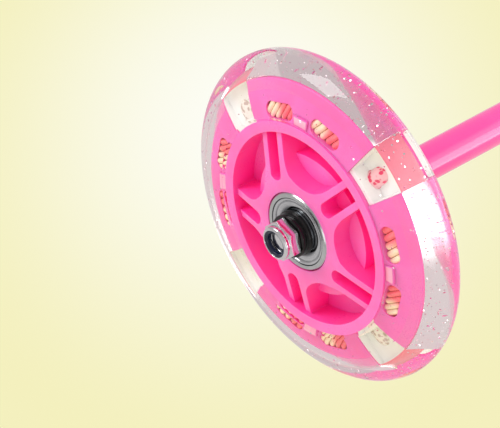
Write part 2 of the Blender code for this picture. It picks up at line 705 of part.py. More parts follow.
def build_bolt(axle, looks):
    """The long bolt from the head behind the frame's lug to the nut."""
    end = BOLT_RADIUS - BOLT_END_CHAMFER
    under = HEAD_FACE - HEAD_HEIGHT / 2
    shank_shape = [
        (0, BOLT_END),
        (end, BOLT_END),
        (BOLT_RADIUS, BOLT_END - BOLT_END_CHAMFER),
        (BOLT_RADIUS, under),
        (0, under),
    ]
    low = HEAD_FACE - HEAD_HEIGHT
    bolt = place("axle_bolt", hexagon(HEX_FLATS, low, HEAD_FACE, "bolt"), looks["nut"], axle)
    trim = hex_round_outline(HEX_FLATS / 2 * 0.98, low, HEAD_FACE)
    barrel = helper(place("head barrel", turned_mesh("head barrel", trim, SMALL), None, axle, CUTTERS))
    shank = helper(place("shank", turned_mesh("shank", shank_shape, SMALL), None, axle, CUTTERS))
    boolean(bolt, barrel, "INTERSECT")
    boolean(bolt, shank, "UNION")


def build_axle(axle, looks):
    build_bolt(axle, looks)
    build_nut(axle, looks)
    bush = turned_mesh("bush", bush_outline(), SMALL)
    place("front_bush", bush, looks["black"], axle)
    place("rear_bush", bush, looks["black"], axle).rotation_euler = (math.pi, 0, 0)
    bore = BORE_RADIUS
    reach = SPACER_LENGTH / 2 - FACE_GAP
    spacer = [(bore, reach), (SPACER_RADIUS, reach), (SPACER_RADIUS, -reach), (bore, -reach)]
    turned("bearing_spacer", spacer, looks["nut"], axle)
    inner, half = SPACER_RADIUS + PRESS_GAP, MAGNET_HALF_HEIGHT
    magnet = [(inner, half), (MAGNET_RADIUS, half), (MAGNET_RADIUS, -half), (inner, -half)]
    turned("magnet_ring", magnet, looks["iron"], axle)
    way = TUBE_RADIUS - TUBE_WALL
    tube = [(way, TUBE_NEAR), (TUBE_RADIUS, TUBE_NEAR), (TUBE_RADIUS, TUBE_FAR), (way, TUBE_FAR)]
    turned("axle_tube", tube, looks["paint"], axle)
    back = WASHER_FACE - WASHER
    washer = [(bore, WASHER_FACE), (WASHER_RADIUS, WASHER_FACE), (WASHER_RADIUS, back), (bore, back)]
    turned("bolt_washer", washer, looks["nut"], axle)


def build_wheel(wheel, looks):
    half = hub_half_mesh()
    place("hub_front", half, looks["pink"], wheel)
    place("hub_rear", half, looks["pink"], wheel).rotation_euler = (math.pi, 0, 0)
    tyre = turned("tyre", tyre_outline(), looks["clear"], wheel, ROUND)
    boolean(tyre, ledge_ways(wheel), "DIFFERENCE")
    build_lamp_ring(wheel, looks)


def finishes():
    return {
        "pink": material("pink moulding", (0.85, 0.1, 0.42), 0.3),
        "paint": material("pink paint", (0.85, 0.09, 0.4), 0.15),
        "clear": material("clear polyurethane", (0.9, 0.9, 0.88), 0.05),
        "black": material("black plastic", (0.01, 0.01, 0.011), 0.25),
        "nut": material("zinc-plated steel", (0.75, 0.75, 0.76), 0.2, 1.0),
        "bearing": material("ground steel", (0.7, 0.71, 0.72), 0.2, 1.0),
        "shield": material("pressed steel", (0.5, 0.51, 0.52), 0.35, 1.0),
        "nylon": material("blue-black nylon", (0.01, 0.015, 0.04), 0.35),
        "copper": material("enamelled copper", (0.8, 0.45, 0.2), 0.3, 0.8),
        "iron": material("dark iron", (0.1, 0.1, 0.11), 0.5, 0.6),
        "board": material("white lamp board", (0.8, 0.8, 0.76), 0.5),
        "lamp": material("lamp resin", (0.9, 0.9, 0.85), 0.15),
    }


def main():
    looks = finishes()
    axle = empty("axle_line", None, (math.pi / 2, 0, 0), (0, TUBE_FAR, 0))
    wheel = empty("wheel_turn", axle, (0, 0, KEY_ANGLE))
    build_wheel(wheel, looks)
    build_bearings(axle, wheel, looks)
    build_axle(axle, looks)


clear_scene()
PARTS = bpy.data.collections.new("light-up scooter wheel")
CUTTERS = bpy.data.collections.new("cutters")
bpy.context.scene.collection.children.link(PARTS)
bpy.context.scene.collection.children.link(CUTTERS)
main()
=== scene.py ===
"""Looks of the light-up scooter wheel on its axle tube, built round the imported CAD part.

Every finer piece is first modelled on the bench: the wheel's middle plane at height 0, its axle along +Z, and
the nut on the +Z side. Placing then moves it to where the CAD part has it. Sizes are in metres, apart from
profiles, which are (radius, height) points in millimetres.
"""

import logging
import math
import random
from dataclasses import dataclass
from enum import Enum
from functools import cached_property
from typing import Any, Callable, Iterable, Optional, Sequence

import bpy
from mathutils import Matrix, Vector


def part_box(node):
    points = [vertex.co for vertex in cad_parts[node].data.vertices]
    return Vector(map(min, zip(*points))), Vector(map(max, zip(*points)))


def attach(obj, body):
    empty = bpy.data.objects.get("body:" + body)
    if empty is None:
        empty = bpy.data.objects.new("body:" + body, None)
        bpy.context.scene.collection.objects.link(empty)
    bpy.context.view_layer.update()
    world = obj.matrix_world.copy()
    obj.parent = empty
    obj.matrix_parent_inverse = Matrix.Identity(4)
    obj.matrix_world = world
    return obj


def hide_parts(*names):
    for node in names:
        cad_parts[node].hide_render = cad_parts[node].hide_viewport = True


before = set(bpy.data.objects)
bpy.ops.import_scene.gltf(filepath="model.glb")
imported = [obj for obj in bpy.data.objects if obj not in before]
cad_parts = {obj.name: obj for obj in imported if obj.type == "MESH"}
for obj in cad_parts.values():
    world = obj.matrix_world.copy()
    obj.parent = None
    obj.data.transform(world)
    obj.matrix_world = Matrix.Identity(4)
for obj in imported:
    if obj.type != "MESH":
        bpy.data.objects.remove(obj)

Piece = bpy.types.Object
Point = tuple[float, float]
Triple = tuple[float, float, float]
Profile = tuple[Point, ...]

LOG = logging.getLogger("wheel")
MM = 0.001
TURN = 2 * math.pi
STAY = Matrix.Identity(4)

# How far the wheel is turned about its axle
WHEEL_TURN = math.radians(49)

# How far a cutter reaches past what it cuts
CLEAR = 1.0 * MM

# Corners sharper or flatter than these stay unrounded, and a rounding takes at most this share of a side
SHARPEST, FLATTEST = math.radians(15), math.radians(165)
SIDE_SHARE = 0.45

# The part of a noise's range that is used: narrow for patches of colour, wider for grain
PATCHES = (0.35, 0.65)
GRAIN = (0.3, 0.7)


class Body(Enum):
    """The bodies that pieces ride on."""

    AXLE = "axle"
    WHEEL = "wheel"


class Side(Enum):
    """The two sides of the wheel. The value is the side's direction along the axle."""

    FRONT = 1
    REAR = -1

    @property
    def word(self) -> str:
        """The side's name as the CAD nodes have it."""
        return self.name.lower()

    @property
    def flip(self) -> Matrix:
        """What turns a piece made for the front onto this side."""
        return STAY if self is Side.FRONT else Matrix.Rotation(math.pi, 4, "X")


# Outlines


def arc(radius: float, start: float, end: float, count: int, centre: Point = (0.0, 0.0)) -> list[Point]:
    """Lists points round an arc, both ends included.

    Args:
        radius: the arc's radius.
        start: its first angle.
        end: its last angle.
        count: how many points it has.
        centre: the arc's centre.

    Returns:
        The points in order.
    """
    turns = [start + (end - start) * i / (count - 1) for i in range(count)]
    return [(centre[0] + radius * math.cos(t), centre[1] + radius * math.sin(t)) for t in turns]


def turned_round(points: Iterable[Point], turn: float) -> list[Point]:
    """Turns flat points about the origin."""
    c, s = math.cos(turn), math.sin(turn)
    return [(x * c - y * s, x * s + y * c) for x, y in points]


def spread(count: int, first: float = 0.0) -> list[float]:
    """Spaces angles evenly round a full turn, from the first one."""
    return [first + TURN * i / count for i in range(count)]


def both_sides(low: float, high: float) -> tuple[Point, Point]:
    """Pairs a span of heights with its mirror image in the wheel's middle plane."""
    return (low, high), (-high, -low)


def raised_to(base: float, profile: Profile) -> list[Point]:
    """Turns a profile into metres, with its heights counted from a base height in metres."""
    return [(r * MM, base + h * MM) for r, h in profile]


def softened(outline: Sequence[Point], radius: float, count: int = 4, closed: bool = True) -> list[Point]:
    """Rounds the corners of an outline.

    Args:
        outline: its corners in order.
        radius: the rounding's radius, which short sides make smaller.
        count: how many points each rounded corner has.
        closed: whether the last corner joins the first.

    Returns:
        The rounded outline.
    """
    made: list[Point] = []
    last = len(outline) - 1
    for i, corner in enumerate(outline):
        if not closed and i in (0, last):
            made.append(corner)
            continue
        here = Vector(corner)
        before = Vector(outline[i - 1]) - here
        after = Vector(outline[(i + 1) % len(outline)]) - here
        angle = before.angle(after, math.pi)
        if not SHARPEST <= angle <= FLATTEST:
            made.append(corner)
            continue
        reach = min(radius / math.tan(angle / 2), SIDE_SHARE * before.length, SIDE_SHARE * after.length)
        first, second = here + before.normalized() * reach, here + after.normalized() * reach
        for step in range(count):
            t = step / (count - 1)
            point = (1 - t) ** 2 * first + 2 * t * (1 - t) * here + t**2 * second
            made.append((point.x, point.y))
    return made


class Bench:
    """Blender's modelling tools, used as they are by hand."""

    NEAR: float = 1e-6

    @staticmethod
    def tidy() -> None:
        """Leaves edit mode and deselects everything."""
        if bpy.context.mode != "OBJECT":
            bpy.ops.object.mode_set(mode="OBJECT")
        bpy.ops.object.select_all(action="DESELECT")

    @staticmethod
    def pick(*objects: Piece) -> None:
        """Selects objects and makes the first one active.

        Args:
            objects: the objects.
        """
        Bench.tidy()
        for obj in objects:
            obj.select_set(True)
        bpy.context.view_layer.objects.active = objects[0]

    @staticmethod
    def drawn(name: str, points: Sequence[Triple], closed: bool) -> Piece:
        """Draws a chain of edges from point to point and leaves it in edit mode, all selected.

        Args:
            name: the object's name.
            points: the chain's points.
            closed: whether the chain ends where it starts.

        Returns:
            The object.
        """
        Bench.tidy()
        bpy.ops.mesh.primitive_plane_add(size=MM, location=points[0], enter_editmode=True)
        bpy.ops.mesh.merge(type="CENTER")
        for here, there in zip(points, points[1:]):
            step = Vector(there) - Vector(here)
            bpy.ops.mesh.extrude_vertices_move(TRANSFORM_OT_translate={"value": tuple(step)})
        bpy.ops.mesh.select_all(action="SELECT")
        if closed:
            bpy.ops.mesh.edge_face_add()
        made = bpy.context.object
        made.name = name
        return made

    @staticmethod
    def finished(made: Piece) -> Piece:
        """Merges doubles, turns faces outwards and puts the place into the mesh of an object in edit mode.

        Args:
            made: the object, in edit mode.

        Returns:
            The same object, in object mode.
        """
        bpy.ops.mesh.select_all(action="SELECT")
        bpy.ops.mesh.remove_doubles(threshold=Bench.NEAR)
        bpy.ops.mesh.normals_make_consistent(inside=False)
        Bench.pick(made)
        bpy.ops.object.transform_apply(location=True, rotation=True, scale=True)
        return made

    @staticmethod
    def spun(name: str, outline: Sequence[Point], steps: int = 160) -> Piece:
        """Spins an outline of (radius, height) points about the axle.

        Args:
            name: the object's name.
            outline: the outline, closed unless it starts on the axle.
            steps: how many faces go round.

        Returns:
            The solid.
        """
        closed = outline[0][0] > 0
        made = Bench.drawn(name, [(r, 0.0, h) for r, h in outline], closed)
        if closed:
            bpy.ops.mesh.delete(type="ONLY_FACE")
            bpy.ops.mesh.select_all(action="SELECT")
        bpy.ops.mesh.spin(steps=steps, angle=TURN, center=(0, 0, 0), axis=(0, 0, 1))
        return Bench.finished(made)

    @staticmethod
    def raised(name: str, outline: Sequence[Point], low: float, high: float) -> Piece:
        """Fills a flat outline and extrudes it from one height to another.

        Args:
            name: the object's name.
            outline: its (x, y) points.
            low: the lower height.
            high: the upper height.

        Returns:
            The solid.
        """
        made = Bench.drawn(name, [(x, y, low) for x, y in outline], True)
        bpy.ops.mesh.extrude_region_move(TRANSFORM_OT_translate={"value": (0, 0, high - low)})
        return Bench.finished(made)

    @staticmethod
    def block(size: Triple, rounding: float) -> Piece:
        """Makes a box of a size round the origin, with rounded edges.

        Args:
            size: its three sides.
            rounding: the width of its edges' rounding.

        Returns:
            The box.
        """
        Bench.tidy()
        bpy.ops.mesh.primitive_cube_add(size=1, enter_editmode=True)
        bpy.ops.transform.resize(value=size)
        made = Bench.finished(bpy.context.object)
        return Bench.smooth(Bench.eased(made, rounding, segments=2))

    @staticmethod
    def joined(pieces: Sequence[Piece]) -> Piece:
        """Joins objects into the first one.

        Args:
            pieces: the objects.

        Returns:
            The first one, which now holds them all.
        """
        Bench.pick(*pieces)
        bpy.ops.object.join()
        return bpy.context.object

    @staticmethod
    def apply(made: Piece, modifier: bpy.types.Modifier) -> Piece:
        """Applies a modifier to its object.

        Args:
            made: the object.
            modifier: its modifier.

        Returns:
            The object.
        """
        Bench.pick(made)
        bpy.ops.object.modifier_apply(modifier=modifier.name)
        return made

    @staticmethod
    def carve(made: Piece, tool: Piece, operation: str = "DIFFERENCE") -> Piece:
        """Cuts a tool out of a solid, or joins it on, and uses the tool up.

        Args:
            made: the solid.
            tool: the other solid.
            operation: the Boolean's operation.

        Returns:
            The solid.
        """
        step = made.modifiers.new("carve", "BOOLEAN")
        step.operation = operation
        step.object = tool
        step.solver = "EXACT"
        Bench.apply(made, step)
        bpy.data.objects.remove(tool)
        return made

    @staticmethod
    def eased(made: Piece, width: float, segments: int = 3, angle: float = 30.0) -> Piece:
        """Rounds the edges of a solid.

        Args:
            made: the solid.
            width: the rounding's width.
            segments: how many faces each rounding has.
            angle: how sharp an edge has to be, in degrees.

        Returns:
            The solid.
        """
        step = made.modifiers.new("ease", "BEVEL")
        step.width = width
        step.segments = segments
        step.limit_method = "ANGLE"
        step.angle_limit = math.radians(angle)
        step.miter_outer = "MITER_ARC"
        return Bench.apply(made, step)

    @staticmethod
    def smooth(made: Piece, angle: float = 35.0) -> Piece:
        """Shades a piece smooth, apart from edges sharper than an angle in degrees.

        Args:
            made: the piece.
            angle: the angle, in degrees.

        Returns:
            The piece.
        """
        Bench.pick(made)
        bpy.ops.object.shade_smooth_by_angle(angle=math.radians(angle))
        return made

    @staticmethod
    def moved(made: Piece, matrix: Matrix) -> Piece:
        """Moves an object and puts its new place into its mesh.

        Args:
            made: the object.
            matrix: the move.

        Returns:
            The object.
        """
        made.matrix_world = matrix @ made.matrix_world
        Bench.pick(made)
        bpy.ops.object.transform_apply(location=True, rotation=True, scale=True)
        return made

    @staticmethod
    def twin(made: Piece) -> Piece:
        """Copies an object with its own mesh.

        Args:
            made: what is copied.

        Returns:
            The copy.
        """
        copy = made.copy()
        copy.data = made.data.copy()
        bpy.context.collection.objects.link(copy)
        return copy

    @staticmethod
    def copied(made: Piece, matrix: Matrix = STAY) -> Piece:
        """Copies an object and moves the copy from where the first one is."""
        return Bench.moved(Bench.twin(made), matrix)


# Finishes


class Wire:
    """A number in a material, with + - * that add Math nodes."""

    def __init__(self, nodes: "Nodes", socket: Any) -> None:
        """Wraps an output socket."""
        self.nodes = nodes
        self.socket = socket

    def __add__(self, other: Any) -> "Wire":
        """Adds."""
        return self.nodes.maths("ADD", self, other)

    __radd__ = __add__

    def __mul__(self, other: Any) -> "Wire":
        """Multiplies."""
        return self.nodes.maths("MULTIPLY", self, other)

    __rmul__ = __mul__

    def __sub__(self, other: Any) -> "Wire":
        """Subtracts."""
        return self.nodes.maths("SUBTRACT", self, other)

    def __rsub__(self, other: Any) -> "Wire":
        """Subtracts this from a number."""
        return self.nodes.maths("SUBTRACT", other, self)

    def between(self, low: float, high: float, first: float = 0.0, last: float = 1.0) -> "Wire":
        """Maps a range of this number to another range, and clamps it there.

        Args:
            low: the range's low end.
            high: its high end.
            first: what the low end becomes.
            last: what the high end becomes.

        Returns:
            The new number.
        """
        settings = {"interpolation_type": "SMOOTHSTEP"}
        values = {0: self, 1: low, 2: high, 3: first, 4: last}
        return Wire(self.nodes, self.nodes.add("ShaderNodeMapRange", settings, values).outputs[0])


class Nodes:
    """The node tree of one material or world."""

    def __init__(self, owner: Any) -> None:
        """Empties the owner's tree.

        Args:
            owner: the material or world.
        """
        owner.use_nodes = True
        self.tree = owner.node_tree
        self.tree.nodes.clear()

    def add(
        self, kind: str, settings: Optional[dict[str, Any]] = None, values: Optional[dict[Any, Any]] = None
    ) -> Any:
        """Adds a node.

        Args:
            kind: its type.
            settings: what is set on it first.
            values: a value, wire or socket for each of its inputs.

        Returns:
            The node.
        """
        node = self.tree.nodes.new(kind)
        for key, value in (settings or {}).items():
            setattr(node, key, value)
        for key, value in (values or {}).items():
            if isinstance(value, Wire):
                value = value.socket
            if isinstance(value, bpy.types.NodeSocket):
                self.tree.links.new(value, node.inputs[key])
            else:
                node.inputs[key].default_value = value
        return node

    def maths(self, operation: str, *values: Any) -> Wire:
        """Adds a Math node over values, which are wires or numbers."""
        node = self.add("ShaderNodeMath", {"operation": operation}, dict(enumerate(values)))
        return Wire(self, node.outputs[0])

    def place(self) -> Any:
        """The position on the object, in metres."""
        return self.add("ShaderNodeTexCoord").outputs["Object"]

    def parts(self, vector: Any) -> list[Wire]:
        """The x, y and z of a vector."""
        return [Wire(self, socket) for socket in self.add("ShaderNodeSeparateXYZ", {}, {0: vector}).outputs]

    def share(self, vector: Any, way: Vector) -> Wire:
        """How far a vector reaches along a direction."""
        node = self.add("ShaderNodeVectorMath", {"operation": "DOT_PRODUCT"}, {0: vector, 1: way})
        return Wire(self, node.outputs["Value"])

    def noise(self, scale: float, detail: float, where: Any = None) -> Wire:
        """Noise with so many features to the metre."""
        values = {"Vector": where or self.place(), "Scale": scale, "Detail": detail}
        return Wire(self, self.add("ShaderNodeTexNoise", {}, values).outputs["Fac"])

    def openness(self, reach: float, only_local: bool = False) -> Wire:
        """How open the surface is within a reach: 1 on open faces and less in hollows."""
        settings = {"samples": 8, "only_local": only_local}
        return Wire(self, self.add("ShaderNodeAmbientOcclusion", settings, {"Distance": reach}).outputs["AO"])

    def blend(self, factor: Any, first: Any, second: Any) -> Any:
        """A colour between two colours.

        Args:
            factor: the share of the second colour.
            first: a colour or its socket.
            second: another one.

        Returns:
            The new colour's socket.
        """
        node = self.add("ShaderNodeMix", {"data_type": "RGBA"}, {0: factor})
        for socket, colour in ((node.inputs[6], first), (node.inputs[7], second)):
            if isinstance(colour, bpy.types.NodeSocket):
                self.tree.links.new(colour, socket)
            else:
                socket.default_value = (*colour, 1.0)
        return node.outputs[2]

    def bump(self, height: Wire, strength: float, depth: float) -> Any:
        """A surface relief of a depth in metres."""
        values = {"Height": height, "Strength": strength, "Distance": depth}
        return self.add("ShaderNodeBump", {}, values).outputs[0]

    def surface(self, lets_lamps_through: bool = False, **values: Any) -> None:
        """Ends the tree in a Principled shader.

        Args:
            lets_lamps_through: whether the surface casts no shadow.
            values: the shader's inputs by name, with underscores for spaces.
        """
        named = {key.replace("_", " "): value for key, value in values.items()}
        shader = self.add("ShaderNodeBsdfPrincipled", {}, named)
        if lets_lamps_through:
            path = self.add("ShaderNodeLightPath").outputs
            open_way = self.add("ShaderNodeBsdfTransparent").outputs[0]
            for kind in ("Is Shadow Ray", "Is Diffuse Ray"):
                mix = {0: path[kind], 1: shader.outputs[0], 2: open_way}
                shader = self.add("ShaderNodeMixShader", {}, mix)
        self.add("ShaderNodeOutputMaterial", {}, {"Surface": shader.outputs[0]})


def linear(text: str) -> Triple:
    """Turns a written colour such as FF80C8 into linear light, by the sRGB curve.

    Args:
        text: the colour's six digits.

    Returns:
        Its red, green and blue.
    """
    parts = [int(text[i : i + 2], 16) / 255 for i in (0, 2, 4)]
    r, g, b = (p / 12.92 if p <= 0.04045 else ((p + 0.055) / 1.055) ** 2.4 for p in parts)
    return r, g, b


@dataclass(frozen=True)
class Finish:
    """A finish, with the record's material slot of every piece that has it."""

    name: str
    slot: str

    def dress(self, nodes: Nodes) -> None:
        """Builds the node tree.

        Args:
            nodes: the material's tree.
        """
        raise NotImplementedError

    def material(self) -> bpy.types.Material:
        """Makes the material.

        Returns:
            The material.
        """
        made = bpy.data.materials.new(self.name)
        self.dress(Nodes(made))
        return made


@dataclass(frozen=True)
class PinkMoulding(Finish):
    """Translucent pink plastic, with painted shade: a deeper pink on its walls and deep red-pink in its
    hollows.
    """

    light: str = "FF74CA"
    second: str = "FF6CC0"
    # Painted shade: edge is the colour of walls that don't face along the axle, deep the colour of closed-in
    # hollows
    edge: str = "FF52B0"
    deep: str = "FF20A8"
    reach: float = 9 * MM
    open_range: Point = (0.05, 0.8)
    level: float = 0.6
    mottle: Point = (0.7, 1.3)
    roughness: Point = (0.27, 0.38)
    relief: float = 0.02 * MM
    softness: float = 4 * MM

    def dress(self, nodes: Nodes) -> None:
        """Builds the node tree.

        Args:
            nodes: the material's tree.
        """
        cloud = nodes.noise(scale=90, detail=3)
        grain = nodes.noise(scale=2600, detail=2)
        # Painted shade in the hollows: ambient occlusion turns closed-in spots towards the deep colour
        openness = nodes.openness(self.reach, only_local=True).between(*self.open_range)
        # Painted shade on the walls: faces that don't face along the axle take the edge colour
        _, along, _ = nodes.parts(nodes.add("ShaderNodeNewGeometry").outputs["Normal"])
        flat = nodes.maths("ABSOLUTE", along).between(0.0, self.level)
        face = nodes.blend(cloud.between(*PATCHES), linear(self.light), linear(self.second))
        face = nodes.blend(flat, linear(self.edge), face)
        nodes.surface(
            Base_Color=nodes.blend(openness, linear(self.deep), face),
            Roughness=(cloud + grain).between(*self.mottle, *self.roughness),
            Normal=nodes.bump(grain, strength=0.25, depth=self.relief),
            Coat_Weight=0.15,
            Coat_Roughness=0.12,
            Subsurface_Weight=0.35,
            Subsurface_Radius=(1.0, 0.15, 0.35),
            Subsurface_Scale=self.softness,
        )


@dataclass(frozen=True)
class ClearCasting(Finish):
    """Clear urethane or resin with a slightly wavy skin."""

    tint: Triple = (0.985, 0.88, 0.895)
    roughness: Point = (0.0, 0.03)
    bend: float = 1.49
    wave: float = 0.08 * MM

    def dress(self, nodes: Nodes) -> None:
        """Builds the node tree.

        Args:
            nodes: the material's tree.
        """
        haze = nodes.noise(scale=300, detail=2)
        ripple = nodes.noise(scale=70, detail=1.5)
        nodes.surface(
            lets_lamps_through=True,
            Base_Color=(*self.tint, 1.0),
            Roughness=haze.between(*GRAIN, *self.roughness),
            Normal=nodes.bump(ripple, strength=0.35, depth=self.wave),
            Transmission_Weight=1.0,
            IOR=self.bend,
        )


@dataclass(frozen=True)
class TubePaint(Finish):
    """Gloss pink paint with a slight orange-peel skin."""

    colour: str = "FF52AC"
    second: str = "FF48A4"
    roughness: Point = (0.16, 0.22)
    relief: float = 0.02 * MM

    def dress(self, nodes: Nodes) -> None:
        """Builds the node tree.

        Args:
            nodes: the material's tree.
        """
        peel = nodes.noise(scale=900, detail=2)
        cloud = nodes.noise(scale=60, detail=2)
        nodes.surface(
            Base_Color=nodes.blend(cloud.between(*PATCHES), linear(self.colour), linear(self.second)),
            Roughness=peel.between(*GRAIN, *self.roughness),
            Normal=nodes.bump(peel, strength=0.2, depth=self.relief),
            Coat_Weight=1.0,
            Coat_Roughness=0.04,
        )


@dataclass(frozen=True)
class Metal(Finish):
    """Bare or plated steel. Its marks run round the axle where rings says how many there are to the metre."""

    colour: Triple
    dark: Triple
    roughness: float
    rings: float = 0.0
    relief: float = 0.01 * MM
    shade: float = 0.0
    shadow: Triple = (0.05, 0.055, 0.065)
    open_range: Point = (0.5, 0.95)
    worn: Point = (0.75, 1.3)
    cover: float = 1.0

    def dress(self, nodes: Nodes) -> None:
        """Builds the node tree.

        Args:
            nodes: the material's tree.
        """
        cloud = nodes.noise(scale=260, detail=4)
        if self.rings:
            x, _, z = nodes.parts(nodes.place())
            circles = nodes.add("ShaderNodeCombineXYZ", {}, {0: nodes.maths("SQRT", x * x + z * z)})
            marks = nodes.noise(scale=self.rings, detail=2, where=circles.outputs[0])
        else:
            marks = nodes.noise(scale=2500, detail=2)
        colour = nodes.blend((cloud * 0.5 + marks * 0.5).between(*PATCHES), self.dark, self.colour)
        # Painted shade: the colour goes towards near-black where nearby parts close the surface in
        if self.shade:
            colour = nodes.blend(nodes.openness(self.shade).between(*self.open_range), self.shadow, colour)
        nodes.surface(
            Base_Color=colour,
            Alpha=self.cover,
            Metallic=1.0,
            Roughness=marks.between(*GRAIN, *(self.roughness * share for share in self.worn)),
            Normal=nodes.bump(marks, strength=0.4, depth=self.relief),
        )


@dataclass(frozen=True)
class Plastic(Finish):
    """Plain moulded plastic or resin, in the rim's colour beyond a radius from the axle's line."""

    colour: Triple
    second: Triple
    roughness: float
    grain: float = 1500.0
    relief: float = 0.01 * MM
    worn: Point = (0.8, 1.25)
    shine: float = 0.5
    rim: Optional[Triple] = None
    rim_start: float = 39.4 * MM
    rim_end: float = 39.5 * MM

    def dress(self, nodes: Nodes) -> None:
        """Builds the node tree.

        Args:
            nodes: the material's tree.
        """
        grain = nodes.noise(scale=self.grain, detail=3)
        cloud = nodes.noise(scale=self.grain / 9, detail=2)
        colour = nodes.blend(cloud.between(*PATCHES), self.colour, self.second)
        if self.rim:
            x, _, z = nodes.parts(nodes.place())
            beyond = (x * x + z * z).between(self.rim_start**2, self.rim_end**2)
            colour = nodes.blend(beyond, colour, self.rim)
        marks = grain * 0.5 + cloud * 0.5
        nodes.surface(
            Base_Color=colour,
            Roughness=marks.between(*PATCHES, *(self.roughness * share for share in self.worn)),
            Normal=nodes.bump(grain, strength=0.3, depth=self.relief),
            Specular_IOR_Level=self.shine,
        )


@dataclass(frozen=True)
class Enamel(Finish):
    """Enamelled wire with a painted highlight at each coil's end away from the first window, painted shade at
    the other.
    """

    # pale is a painted highlight; warm is painted shade with a painted pink reflection
    pale: str = "FFF2D2"
    warm: str = "FF7A86"
    coil_share: float = 12.0
    change: Point = (0.42, 0.6)
    roughness: Point = (0.18, 0.3)
    relief: float = 0.01 * MM

    def dress(self, nodes: Nodes) -> None:
        """Builds the node tree.

        Args:
            nodes: the material's tree.
        """
        x, _, z = nodes.parts(nodes.place())
        across = z * math.cos(WHEEL_TURN) - x * math.sin(WHEEL_TURN)
        along = x * math.cos(WHEEL_TURN) + z * math.sin(WHEEL_TURN)
        # Painted highlight and shade: where a point lies along its coil sets pale or warm
        turn = nodes.maths("ARCTAN2", across, along)
        share = nodes.maths("ABSOLUTE", turn) * (self.coil_share / TURN) + 0.5
        far = nodes.maths("FRACT", share).between(*self.change)
        grain = nodes.noise(scale=2500, detail=2)
        nodes.surface(
            Base_Color=nodes.blend(far + grain * 0.3 - 0.15, linear(self.warm), linear(self.pale)),
            Roughness=grain.between(*GRAIN, *self.roughness),
            Normal=nodes.bump(grain, strength=0.2, depth=self.relief),
            Coat_Weight=0.5,
        )


@dataclass(frozen=True)
class Speckle(Finish):
    """Lamp resin with a red pattern over white."""

    red: str = "F0406C"
    white: str = "FFC4CC"
    border: Point = (0.55, 0.75)
    roughness: Point = (0.08, 0.2)
    relief: float = 0.15 * MM

    def dress(self, nodes: Nodes) -> None:
        """Builds the node tree.

        Args:
            nodes: the material's tree.
        """
        cells = nodes.add("ShaderNodeTexVoronoi", {}, {"Vector": nodes.place(), "Scale": 900.0})
        gap = Wire(nodes, cells.outputs["Distance"])
        cloud = nodes.noise(scale=600, detail=3)
        pattern = (gap * 0.8 + cloud * 0.6).between(*self.border)
        nodes.surface(
            Base_Color=nodes.blend(pattern, linear(self.red), linear(self.white)),
            Roughness=cloud.between(*GRAIN, *self.roughness),
            Normal=nodes.bump(gap, strength=0.5, depth=self.relief),
        )


class Look(Enum):
    """Every finish of the wheel."""

    PINK = PinkMoulding("pink moulding", "pink_plastic")
    # Pale pads: partly their own paler pink, partly a painted highlight of the clear tyre over the ledges
    PAD = Plastic("pale pad", "pink_plastic", (1.0, 0.5, 0.7), (1.0, 0.42, 0.64), 0.25)
    CLEAR = ClearCasting("clear urethane", "clear_urethane")
    FILM = Metal("silver film", "clear_urethane", (0.95, 0.93, 0.93), (0.9, 0.87, 0.87), 0.1, cover=0.2)
    FLAKE = Metal("glitter", "clear_urethane", (0.95, 0.95, 0.95), (0.85, 0.85, 0.85), 0.15)
    GUIDE = Plastic(
        "white guide", "clear_plastic", (0.95, 0.98, 0.96), (0.92, 0.93, 0.91), 0.2, rim=(0.85, 0.2, 0.28)
    )
    BOARD = Plastic("lamp board", "board", (0.9, 0.88, 0.82), (0.84, 0.82, 0.76), 0.3)
    LAMP = Speckle("red lamp", "lamp_resin")
    DULL_LAMP = Speckle("unlit lamp", "lamp_resin", "C9B4AC", "F6F0EA")
    WIRE = Enamel("enamelled wire", "copper")
    IRON = Metal("dark iron", "iron", (0.2, 0.2, 0.21), (0.12, 0.12, 0.13), 0.45)
    PAINT = TubePaint("tube paint", "paint")
    PLATED = Metal("plated steel", "plated_steel", (0.76, 0.76, 0.77), (0.64, 0.64, 0.66), 0.12)
    GROUND = Metal("ground steel", "bearing_steel", (0.6, 0.62, 0.62), (0.47, 0.49, 0.49), 0.2, rings=9000)
    # The shields take painted shade next to the black bush
    PRESSED = Metal(
        "pressed steel",
        "shield_steel",
        (0.62, 0.63, 0.65),
        (0.5, 0.51, 0.53),
        0.12,
        rings=6000,
        relief=0.004 * MM,
        shade=2 * MM,
    )
    BLACK = Plastic(
        "black bush", "black_plastic", (0.003, 0.003, 0.003), (0.006, 0.006, 0.006), 0.12, shine=0.3
    )
    NYLON = Plastic("nylon", "nylon", (0.004, 0.008, 0.03), (0.01, 0.018, 0.05), 0.25)

    @cached_property
    def material(self) -> bpy.types.Material:
        """The finish's material, made when it is first asked for."""
        return self.value.material()


